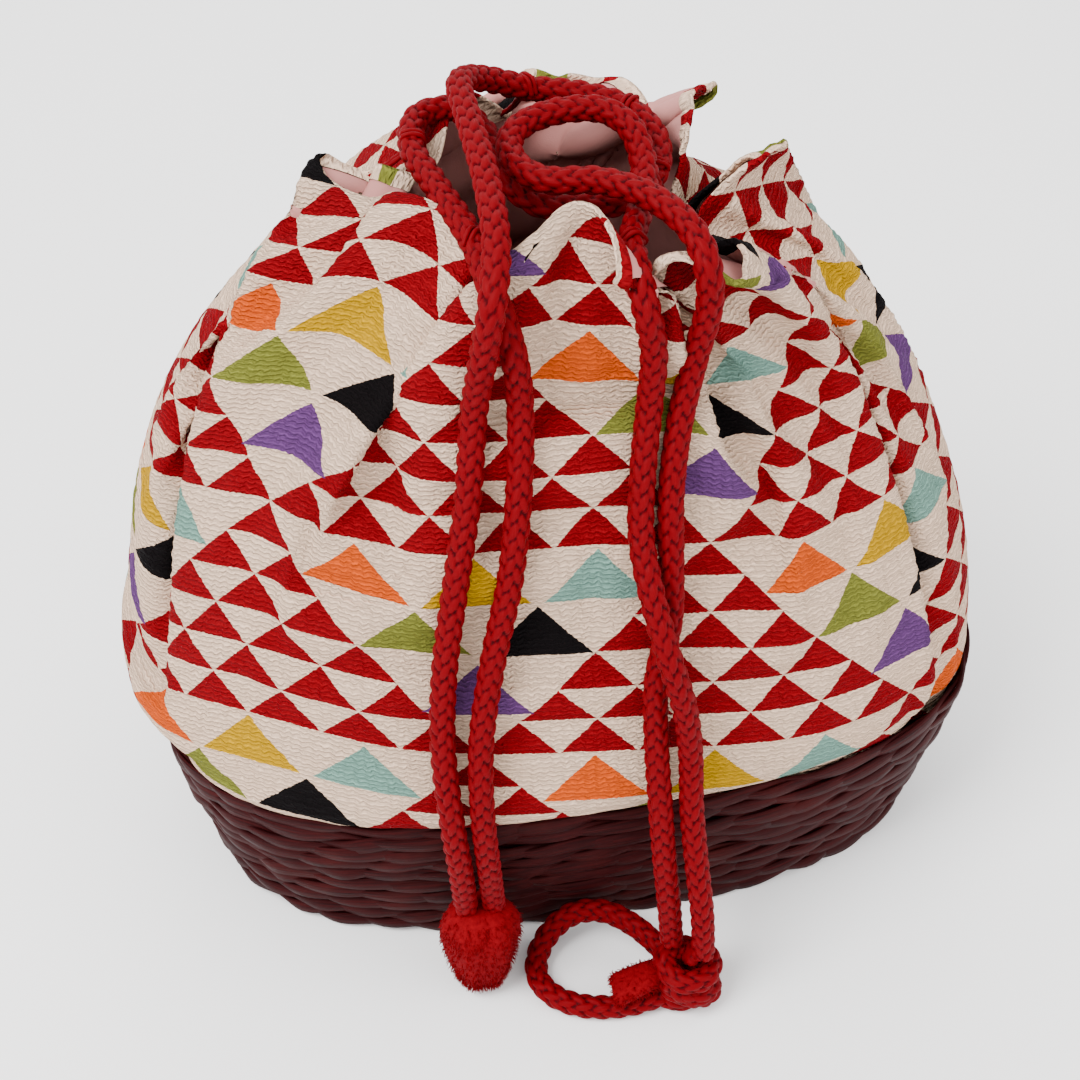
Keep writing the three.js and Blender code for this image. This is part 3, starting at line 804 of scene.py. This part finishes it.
def lining_material():
    n = Nodes("plain_lining")
    u, v = n.uv("cloth")
    weave = n.flat_noise(u, v, 260.0, 260.0)
    patch = n.flat_noise(u, v, 6.0, 6.0)
    colour = n.mix(weave, linear(LINING_THREAD), linear(LINING_PINK))
    colour = n.mix(n.smooth(patch, 0.3, 0.8, 0.0, 0.3), colour, linear(LINING_PATCH))
    n.set(Base_Color=colour, Roughness=0.85, Specular_IOR_Level=0.25)
    n.bump(weave, 0.12 * MM, 0.6)
    return n.material


rope_lines = [left_line, right_line]
cloth_grid = settle(*first_shape(), rope_lines)


# ---- cloth, lining and the loops as meshes ----
REFINED = (6, 2)                    # the settled cloth is made this many times finer, up and across
SURFACE_CLEAR = 3.9 * MM            # the fine cloth to a cord's centre line
HEM_TURN = 0.65 * MM                # radius of the hem's turned edge
HEM_ANGLES = (40, 90, 140, 180)
HEM_BACK_ROWS = (2, 4, 6)           # rows that the turned-in hem runs down behind
HEM_BEHIND = 1.2 * MM
CRINKLE, ROUGHNESS = 0.13, 0.35     # heights of the crepe's waves and of its uneven surface, in mm
LINING_GAPS = (0.8 * MM, 0.7 * MM, 0.55 * MM, 0.4 * MM)
LEAST_GAP = 0.35 * MM
LINING_CLOSE, LINING_EASE = 76, 24  # rows below the hem where the lining leaves the folds, and over how many
FAR_SIDE = 15 * MM                  # y beyond which the lining is seen through the mouth and stays whole


def build_cloth(grid, lines, material):
    """The outer cloth with its hem turned in at the top edge, and its smooth surface."""
    fine = refine(grid, *REFINED)
    clear_of_lines(fine[60:], lines, SURFACE_CLEAR)
    columns = fine.shape[1]
    place = np.arange(columns) / columns * CLOTH_AROUND / MM
    below = 1 - np.linspace(0, 1, len(fine))
    s, h = np.meshgrid(place, (1 - below) * CLOTH_UP / MM)
    turn = 2 * math.pi * s / (CLOTH_AROUND / MM)
    wander = 1.3 * np.sin(9 * turn + 0.11 * h) + 1.1 * np.sin(23 * turn - 0.07 * h + 1.0)
    crinkle = np.sin(2.3 * h + wander + 0.9 * np.sin(61 * turn + 0.4 * h)) + 0.5 * np.sin(1.1 * h + 17 * turn)
    random = RNG.normal(size=fine.shape[:2])
    for _ in range(2):
        random = (np.roll(random, 1, 1) + random + np.roll(random, -1, 1)) / 3
        random[1:-1] = (random[:-2] + random[1:-1] + random[2:]) / 3
    normal = grid_normals(fine)
    outer = fine + normal * ((CRINKLE * crinkle + ROUGHNESS * random) * MM)[..., None]
    rise = outer[-1] - outer[-3]
    rise /= np.linalg.norm(rise, axis=1)[:, None]
    hem = []
    for angle in map(math.radians, HEM_ANGLES):
        hem.append(outer[-1] + HEM_TURN * (math.sin(angle) * rise - (1 - math.cos(angle)) * normal[-1]))
    for down in HEM_BACK_ROWS:
        hem.append(fine[-1 - down] - HEM_BEHIND * normal[-1 - down])
    points = np.concatenate([outer, np.array(hem)])
    below = np.r_[below, -0.002 * np.arange(1, len(hem) + 1)]
    made = make_mesh("printed_cloth", points.reshape(-1, 3), grid_faces(len(points), columns), material,
                     cloth_uv(below, columns), "cloth")
    return made, fine


def behind_cloth(points, fine):
    """Puts the points that are in front of the cloth, or too close behind it, behind it, and says which of
    them have no room there: those lie in a fold whose two layers nearly touch."""
    tree = BVHTree.FromPolygons(fine.reshape(-1, 3).tolist(), grid_faces(*fine.shape[:2]).tolist())
    moved = points.reshape(-1, 3).copy()
    for gap in LINING_GAPS:
        for k, point in enumerate(moved):
            near, normal, _, _ = tree.find_nearest(point)
            if (Vector(point) - near).dot(normal) > -gap:
                moved[k] = near - normal * gap * 1.05
    squeezed = np.zeros(len(moved), dtype=bool)
    for k, point in enumerate(moved):
        near, normal, _, _ = tree.find_nearest(point)
        squeezed[k] = (Vector(point) - near).dot(normal) > -LEAST_GAP and point[1] < FAR_SIDE
    return moved.reshape(points.shape), squeezed


def build_lining(fine, material):
    """The plain lining: close behind the cloth at the top, and clear of its folds further down."""
    rows = len(fine)
    _, _, mid_x, mid_y, _ = section_at(fine[..., 2] / MM)
    middle = np.stack([mid_x, mid_y], -1)
    level = fine[..., :2] - middle
    reach = np.linalg.norm(level, axis=2)
    least = reach.copy()
    for shift in range(-8, 9, 2):
        least = np.minimum(least, np.roll(reach, shift, axis=1))
    for _ in range(24):
        least = np.minimum(least, (np.roll(least, 2, 1) + least + np.roll(least, -2, 1)) / 3)
    deep = fine.copy()
    deep[..., :2] = middle + level * ((least - 2.0 * MM) / reach)[..., None]
    inner = fine - grid_normals(fine) * 0.9 * MM
    near_top = np.clip((np.arange(rows) - (rows - LINING_CLOSE)) / LINING_EASE, 0, 1)[:, None, None]
    points = (deep * (1 - near_top) + inner * near_top)[:rows - 5:2]
    points, squeezed = behind_cloth(points, fine)
    faces = grid_faces(*points.shape[:2])
    kept = ~squeezed[faces].any(axis=1)
    uv = cloth_uv(np.linspace(1, 0.02, len(points)), points.shape[1])
    uv = uv.reshape(-1, 4, 2)[kept].reshape(-1, 2)
    return make_mesh("lining", points.reshape(-1, 3), faces[kept], material, uv, "cloth")


# A thin loop's course round a drawcord, in mm from its centre line: on along the loop, aside, and up.
LOOP_ROUND = [(0, 0.8, 3.2), (3.4, 0.7, 0.6), (1.6, 0.6, -3.0)]
LOOP_SIDES = 10
LOOP_STEP = 0.7 * MM
LOOP_LOW = 192 * MM                 # the loops only reach for cord above this height


def thin_loop(name, start, goal, material):
    """A doubled thin cord from the cloth's edge round a drawcord."""
    length = np.linalg.norm(goal - start)
    along = (goal - start) / length
    side = unit(np.cross(along, (0, 0, 1.0)))
    up = np.cross(side, along)
    sag = -0.06 * length
    theta = circle(LOOP_SIDES)
    parts, faces, uv = [], [], []
    for sign in (-1, 1):
        route = [start - along * 1.5 * MM + side * sign * 0.4 * MM]
        for t in (0.15, 0.4, 0.65, 0.85):
            route.append(start + along * length * t + side * sign * (0.55 + 0.15 * t) * MM
                         + up * (sag * math.sin(math.pi * t)))
        for on, aside, high in LOOP_ROUND:
            route.append(goal + along * on * MM + side * sign * aside * MM + up * high * MM)
        line, s = respace(catmull_rom(np.array(route), 10), LOOP_STEP)
        twist = theta[None, :] + s[:, None] / LOOP_DIAMETER
        offset = sum(map(len, parts))
        parts.append(tube_points(line, LOOP_DIAMETER / 2 * (1 + 0.10 * np.sin(2 * twist)), theta))
        block = grid_faces(len(line), LOOP_SIDES)
        faces += (block + offset).tolist() + end_faces(len(line), LOOP_SIDES, offset)
        uv += [(0.5, 0.5)] * (len(block) * 4 + 2 * LOOP_SIDES)
    made = make_mesh(name, np.concatenate(parts), faces, material, uv, "braid")
    store_relief(made, np.full(len(made.data.vertices), 0.8))
    return made


def build_loops(fine, lines, material):
    """Each loop runs from the hem to the nearest place of a drawcord."""
    loops = []
    cords = np.concatenate(lines)
    cords = cords[cords[:, 2] > LOOP_LOW]
    columns = fine.shape[1]
    for number, place in enumerate(LOOP_PLACES, 1):
        start = fine[-4, int(round(place * MM / CLOTH_AROUND * columns)) % columns]
        goal = cords[np.linalg.norm(cords - start, axis=1).argmin()]
        loops.append(thin_loop(f"thin_loop_{number:02d}", start, goal, material))
    return loops


# ---- the basket ----
BASKET_ROWS = 9
BASKET_LOW, BASKET_TOP = 0.6 * MM, 51.5 * MM
BASKET_FOOT = (101 * MM, 60 * MM)   # half sizes on the ground
BASKET_LEAN = 12 * MM / (55 * MM)   # how far the side moves outward for each unit of height
STRIP_WIDE, STRIP_THICK = 5.6, 1.4 * MM
STRIP_SIDES = 8
STRIP_POINTS = 300
STRIP_LOW, STRIP_HIGH = 2.7 * MM, 54.8 * MM
STRIP_WAVE = 0.7 * MM               # how far a strip swings in and out, and wanders up and down
RIM_INSET, NEXT_INSET = 1.3 * MM, 0.6 * MM
WALL_POINTS = 160
WALL = [(2.2, 3.2), (3, 2.6), (30, 2.6), (52, 2.4), (52, 3.4), (30, 3.6), (3, 3.6), (2.2, 3.2)]
PLATE_LOW, PLATE_TOP, PLATE_INSET = 1.35 * MM, 1.75 * MM, 3.4 * MM
FLOOR_STRIP, FLOOR_THICK = 6.4 * MM, 0.9 * MM
FLOOR_MIDDLE, FLOOR_WAVE = 1.55 * MM, 0.55 * MM


def basket_outline(z, count, inset=0.0):
    half_x, half_y = (half + BASKET_LEAN * z - inset for half in BASKET_FOOT)
    return oval(half_x, half_y, BASKET_POWER, count)


def basket_ring(z, inset):
    return np.c_[basket_outline(z, WALL_POINTS, inset), np.full(WALL_POINTS, z)]


def strip(points, out, wide, thick, tilt):
    """Rings of a flat strip's section along a closed level line; out is its outward direction."""
    t = circle(STRIP_SIDES)
    flat_x = power_of(np.cos(t), 0.8) * thick / 2
    flat_z = power_of(np.sin(t), 0.7) * wide[:, None] / 2
    turned_x = flat_x * np.cos(tilt)[:, None] - flat_z * np.sin(tilt)[:, None]
    turned_z = flat_x * np.sin(tilt)[:, None] + flat_z * np.cos(tilt)[:, None]
    return points[:, None] + turned_x[..., None] * out[:, None] + turned_z[..., None] * np.array([0, 0, 1.0])


def smooth_noise(knots):
    """A closed, gently varying random curve of about unit size, at each point of a strip."""
    values = RNG.normal(size=(knots, 1))
    return closed_curve(np.arange(knots) / knots, values, np.arange(STRIP_POINTS) / STRIP_POINTS, 1.0)[:, 0]


def build_weave(material):
    """Rows of flat strips twined in pairs round the basket, the last one as its rim."""
    parts, faces, uv = [], [], []
    pitch = (BASKET_TOP - BASKET_LOW) / BASKET_ROWS
    insets = {BASKET_ROWS: RIM_INSET, BASKET_ROWS - 1: NEXT_INSET}
    for row in range(BASKET_ROWS + 1):
        twists = int(RNG.integers(15, 20))
        start = RNG.uniform(0, 2 * math.pi)
        for strand in (0, 1):
            phase = twists * circle(STRIP_POINTS) + start + strand * math.pi + 0.5 * smooth_noise(40)
            z = BASKET_LOW + pitch * (row + 0.5) + STRIP_WAVE * smooth_noise(24) + 0.75 * MM * np.sin(phase)
            z = np.clip(z, STRIP_LOW, STRIP_HIGH)
            flat = basket_outline(float(z.mean()), STRIP_POINTS)
            along = np.roll(flat, -1, 0) - np.roll(flat, 1, 0)
            out = np.c_[along[:, 1], -along[:, 0], np.zeros(STRIP_POINTS)]
            out /= np.linalg.norm(out, axis=1)[:, None]
            depth = STRIP_WAVE * np.cos(phase) - 0.9 * MM + 0.2 * MM * smooth_noise(60)
            depth += BASKET_LEAN * (z - z.mean()) - insets.get(row, 0)
            points = np.c_[flat, z] + out * depth[:, None]
            wide = (STRIP_WIDE + 0.5 * smooth_noise(30)) * MM * (0.84 + 0.16 * np.cos(phase))
            rings = strip(points, out, wide, STRIP_THICK, 0.16 * np.sin(phase + 0.6) - 0.17)
            faces += (grid_faces(STRIP_POINTS, STRIP_SIDES, ring=True) + sum(map(len, parts))).tolist()
            parts.append(rings.reshape(-1, 3))
            edges = RNG.uniform(0, 50) + np.arange(STRIP_SIDES + 1) / STRIP_SIDES
            run = np.arange(STRIP_POINTS + 1) / STRIP_POINTS * 6.0
            run = np.broadcast_to(run[:, None], (STRIP_POINTS + 1, STRIP_SIDES + 1))
            uv.append(grid_uv(edges[:-1], edges[1:], run)[:, ::-1])
    return make_mesh("woven_side", np.concatenate(parts), faces, material, np.concatenate(uv), "strip")


def build_backing(material):
    """The dark inside of the basket's side: a plain thin wall just behind the strips."""
    rings = np.array([basket_ring(z * MM, inset * MM) for z, inset in WALL])
    faces = grid_faces(len(rings), WALL_POINTS)
    uv = np.tile([(0, 0), (1, 0), (1, 1), (0, 1)], (len(faces), 1))
    return make_mesh("basket_backing", rings.reshape(-1, 3), faces, material, uv, "strip")


def build_floor(material):
    """The basket's floor: flat strips woven over and under, first those along X, then those along Y."""
    parts, faces, uv, total = [], [], [], 0
    half = FLOOR_STRIP * 0.46
    high = FLOOR_THICK / 2
    section = [(-half, -high), (half, -high), (half, high), (-half, high)]
    for direction, (reach, span) in enumerate(((57.0 * MM, 97.5 * MM), (98.0 * MM, 56.5 * MM))):
        number = int(2 * reach / FLOOR_STRIP)
        for k in range(number):
            off = (k + 0.5) / number * 2 * reach - reach
            end = span * max(0.0, 1 - abs(off / reach) ** BASKET_POWER) ** (1 / BASKET_POWER)
            if end < 4 * MM:
                continue
            count = max(6, int(2 * end / (1.6 * MM)))
            run = np.linspace(-end, end, count)
            wave = np.cos(math.pi * (run / FLOOR_STRIP + k + direction))
            z = FLOOR_MIDDLE + FLOOR_WAVE * wave * (-1 if direction else 1)
            ring = []
            for across, up in section:
                side = np.full(count, off + across)
                ring.append(np.stack([*((side, run) if direction else (run, side)), z + up], -1))
            rings = np.stack(ring, 1)
            if not direction:
                rings = rings[:, ::-1]
            parts.append(rings.reshape(-1, 3))
            block = grid_faces(count, 4)
            first, last = end_faces(count, 4, total)
            faces += (block[:, ::-1] + total).tolist() + [first[::-1], last[::-1]]
            uv += [(0.2 * i, float(k)) for i in range(4)] * (len(block) + 2)
            total += count * 4
    return make_mesh("woven_floor", np.concatenate(parts), faces, material, uv, "strip", smooth=False)


def build_floor_plate(material):
    """A thin plate inside the woven floor, which closes the slits between its strips."""
    rings = [basket_ring(z, PLATE_INSET) for z in (PLATE_LOW, PLATE_TOP)]
    faces = grid_faces(2, WALL_POINTS).tolist() + end_faces(2, WALL_POINTS)
    return make_mesh("floor_plate", np.concatenate(rings), faces, material, smooth=False)


def basket_material():
    n = Nodes("lacquered_strips")
    u, v = n.uv("strip")
    grain = n.flat_noise(u, v, 6.0, 16.0, 3.0, 0.6)
    blotch = n.object_noise(60.0, 3.0)
    colour = n.mix(n.smooth(grain, 0.3, 0.75), linear(BASKET_DARK), linear(BASKET_BROWN))
    colour = n.mix(n.smooth(blotch, 0.45, 0.8, 0.0, 0.5), colour, linear(BASKET_PATCH))
    n.set(Base_Color=colour, Roughness=n.smooth(grain, 0.2, 0.8, 0.42, 0.60), Specular_IOR_Level=0.03)
    n.bump(grain, 0.35 * MM, 0.6)
    return n.material


# ---- the cords' ends ----
FIBRE_RADIUS = 0.16 * MM
TASSEL_PLACE = (-35.6, -76)
TASSEL_LEVELS = [(33.4, 5.0, 4.0), (31.8, 7.8, 6.2), (28, 9.6, 7.8), (23, 9.9, 8.2), (17, 9.0, 7.6),
                 (11, 7.8, 6.8), (7.2, 6.8, 5.8), (4.8, 6.0, 4.9), (4.2, 5.0, 4.2)]
TAB_ROOT, TAB_TIP = np.array([9.6, -88.4, 11.8]), np.array([-3.6, -91.0, 9.0])
TAB_LEVELS = [(0, 3.4, 2.2), (0.25, 4.0, 2.5), (0.6, 4.4, 2.6), (0.9, 4.5, 2.4), (1.0, 3.6, 1.6)]
TAB_SLANT = 0.22
KNOT_PLACE, KNOT_TOP, KNOT_HIGH = (15.4, -89.2), 19.4, 12.0
KNOT_POINTS = 46
LOBE_ROUTE = [
    (10.5, -92.5, 13.5), (13.5, -94.6, 10.5), (18, -94.8, 7), (22.6, -91.5, 4.4), (22.2, -86.5, 3.8),
    (17, -83.8, 3.8), (11.5, -85.5, 4.0), (9.8, -89.5, 4.2), (12.5, -92.6, 4.0), (17, -92.4, 3.8),
]


def fuzz_material():
    n = Nodes("frayed_fibre")
    noise = n.object_noise(900.0, 3.0, 0.6)
    colour = n.mix(noise, linear(FIBRE_DARK), linear(FIBRE_PALE))
    n.set(Base_Color=colour, Roughness=0.85, Specular_IOR_Level=0.05)
    n.bump(noise, 0.3 * MM, 0.7)
    return n.material


def body_with_fibres(name, rings, fibres, length, material, fibre_down):
    """A closed body of rings, covered in short loose fibres that hang down by fibre_down."""
    rings = np.array(rings)
    rows, columns = rings.shape[:2]
    points = [rings.reshape(-1, 3)]
    faces = grid_faces(rows, columns).tolist() + end_faces(rows, columns)
    fibre_faces = grid_faces(3, 3)
    total = rows * columns
    centre = rings.mean(axis=(0, 1))
    for _ in range(fibres):
        r = RNG.uniform(0, rows - 1.001)
        c = RNG.uniform(0, columns)
        low, t = int(r), r % 1
        left, w = int(c) % columns, c % 1
        right = (left + 1) % columns
        base = (1 - t) * ((1 - w) * rings[low, left] + w * rings[low, right]) \
            + t * ((1 - w) * rings[low + 1, left] + w * rings[low + 1, right])
        out = base - (centre[0], centre[1], base[2])
        out = out / max(np.linalg.norm(out), 1e-6)
        sideways = np.cross(out, (0, 0, 1.0)) * RNG.normal(0, 0.5)
        direction = out * RNG.uniform(0.25, 0.9) + sideways
        direction[2] += RNG.normal(0, 0.3) - fibre_down
        direction = unit(direction)
        size = length * RNG.uniform(0.5, 1.2)
        line = [base - out * 0.4 * MM, base + direction * size * 0.5, base + direction * size]
        line[-1][2] -= 0.125 * size
        across = unit(np.cross(direction, (0.3, 0.5, 0.8)))
        other = np.cross(direction, across)
        for place, share in zip(line, (1.0, 0.8, 0.3)):
            for angle in circle(3):
                aside = math.cos(angle) * across + math.sin(angle) * other
                points.append((place + FIBRE_RADIUS * share * aside)[None])
        faces += (fibre_faces + total).tolist() + end_faces(3, 3, total)
        total += 9
    points = np.concatenate(points)
    points[:, 2] = np.maximum(points[:, 2], 0.15 * MM)
    return make_mesh(name, points, faces, material)


def build_tassel(material):
    t = circle(36)
    rings = []
    for z, wide, deep in TASSEL_LEVELS:
        wobble = 1 + 0.05 * np.cos(6 * t) + 0.03 * np.sin(11 * t + z)
        x = TASSEL_PLACE[0] + wide * wobble * np.cos(t)
        y = TASSEL_PLACE[1] + deep * wobble * np.sin(t)
        rings.append(np.stack([x, y, np.full(36, float(z))], -1) * MM)
    return body_with_fibres("frayed_tassel", rings[::-1], 3000, 1.5 * MM, material, 0.9)


def build_tab(material):
    """A flat tongue of frayed cord with a slanting cut end."""
    along = unit(TAB_TIP - TAB_ROOT)
    side = unit(np.cross(along, (0, 0, 1.0)))
    up = np.cross(side, along)
    t = circle(28)
    rings = []
    for share, wide, thick in TAB_LEVELS:
        across = wide * power_of(np.cos(t), 0.7)
        over = thick * power_of(np.sin(t), 0.8)
        place = TAB_ROOT + (TAB_TIP - TAB_ROOT) * share
        slant = TAB_SLANT * across[:, None] * share * along
        rings.append((place + across[:, None] * side + over[:, None] * up - slant) * MM)
    return body_with_fibres("frayed_tab", rings, 700, 1.2 * MM, material, 0.2)


def build_knot(material):
    """Two turns of cord that open downwards from the cord's own ends, and a lower lobe to the right."""
    turns = []
    for k in range(KNOT_POINTS):
        angle = math.radians(-60 + k * 17)
        t = k / (KNOT_POINTS - 1)
        opened = min(1.0, 0.14 + 2.2 * t)
        reach_x = opened * (6.6 + 0.5 * math.sin(3 * angle))
        reach_y = opened * 5.8
        turns.append((KNOT_PLACE[0] + 1.4 * t + reach_x * math.cos(angle),
                      KNOT_PLACE[1] + reach_y * math.sin(angle), KNOT_TOP - KNOT_HIGH * t))
    wrap, _ = braided_tube("knot_wrap", turns, material)
    lobe, _ = braided_tube("knot_lobe", LOBE_ROUTE, material)
    return [wrap, lobe]


# ---- stage ----
FLOOR_REACH = 3.0
WORLD_STRENGTH = 1.85
LIGHTS = [("key", (-0.55, -0.35, 0.95), 0.55, 17.0), ("fill", (0.8, -0.6, 0.6), 0.8, 4.0),
          ("back", (0.1, 0.9, 0.8), 0.8, 4.5)]
LIGHT_TARGET = Vector((0, 0, 0.09))


def add_stage():
    n = Nodes("studio_floor")
    n.set(Base_Color=linear(FLOOR_WHITE), Roughness=0.95, Specular_IOR_Level=0.1)
    corners = [(x * FLOOR_REACH, y * FLOOR_REACH, 0) for x, y in ((-1, -1), (1, -1), (1, 1), (-1, 1))]
    make_mesh("floor", corners, [(0, 1, 2, 3)], n.material)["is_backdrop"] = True
    world = bpy.data.worlds.new("studio")
    world.use_nodes = True
    background = world.node_tree.nodes["Background"]
    background.inputs["Color"].default_value = (1.0, 1.0, 1.0, 1)
    background.inputs["Strength"].default_value = WORLD_STRENGTH
    bpy.context.scene.world = world
    for name, place, wide, power in LIGHTS:
        data = bpy.data.lights.new(name, "AREA")
        data.shape = "DISK"
        data.size = wide
        data.energy = power
        light = bpy.data.objects.new(name, data)
        light.location = place
        light.rotation_euler = (LIGHT_TARGET - Vector(place)).to_track_quat("-Z", "Y").to_euler()
        bpy.context.scene.collection.objects.link(light)
        light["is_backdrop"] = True


# ---- assembly ----
printed_cloth, fine_cloth = build_cloth(cloth_grid, rope_lines, print_material())
lining = build_lining(fine_cloth, lining_material())
loops = build_loops(fine_cloth, rope_lines, cord_finish)
basket_finish = basket_material()
weave = build_weave(basket_finish)
backing = build_backing(basket_finish)
basket_bottom = build_floor(basket_finish)
floor_plate = build_floor_plate(basket_finish)
fuzz_finish = fuzz_material()
tassel = build_tassel(fuzz_finish)
tab = build_tab(fuzz_finish)
knot_pieces = build_knot(cord_finish)
add_stage()

REPLACED = [
    ([printed_cloth], "cloth", ["outer_cloth_front", "outer_cloth_back"]),
    ([lining], "lining", ["lining_cloth"]),
    ([left_cord], "cord", ["draw_cord_left"]),
    ([right_cord], "cord", ["draw_cord_right"]),
    ([tail_cord], "cord", ["end_loop_right"]),
    ([weave, backing], "basket", ["basket_wall", "basket_rim"]),
    ([basket_bottom, floor_plate], "basket", ["basket_floor"]),
    ([tassel], "fuzz", ["end_tassel_left"]),
    ([tab], "fuzz", ["end_tab_right"]),
    (knot_pieces, "cord", ["end_knot_right"]),
]
for number, loop in enumerate(loops, 1):
    REPLACED.append(([loop], "cord", [f"cord_loop_{number:02d}"]))
for pieces, slot, nodes in REPLACED:
    for piece in pieces:
        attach(piece, "root")
    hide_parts(*nodes)
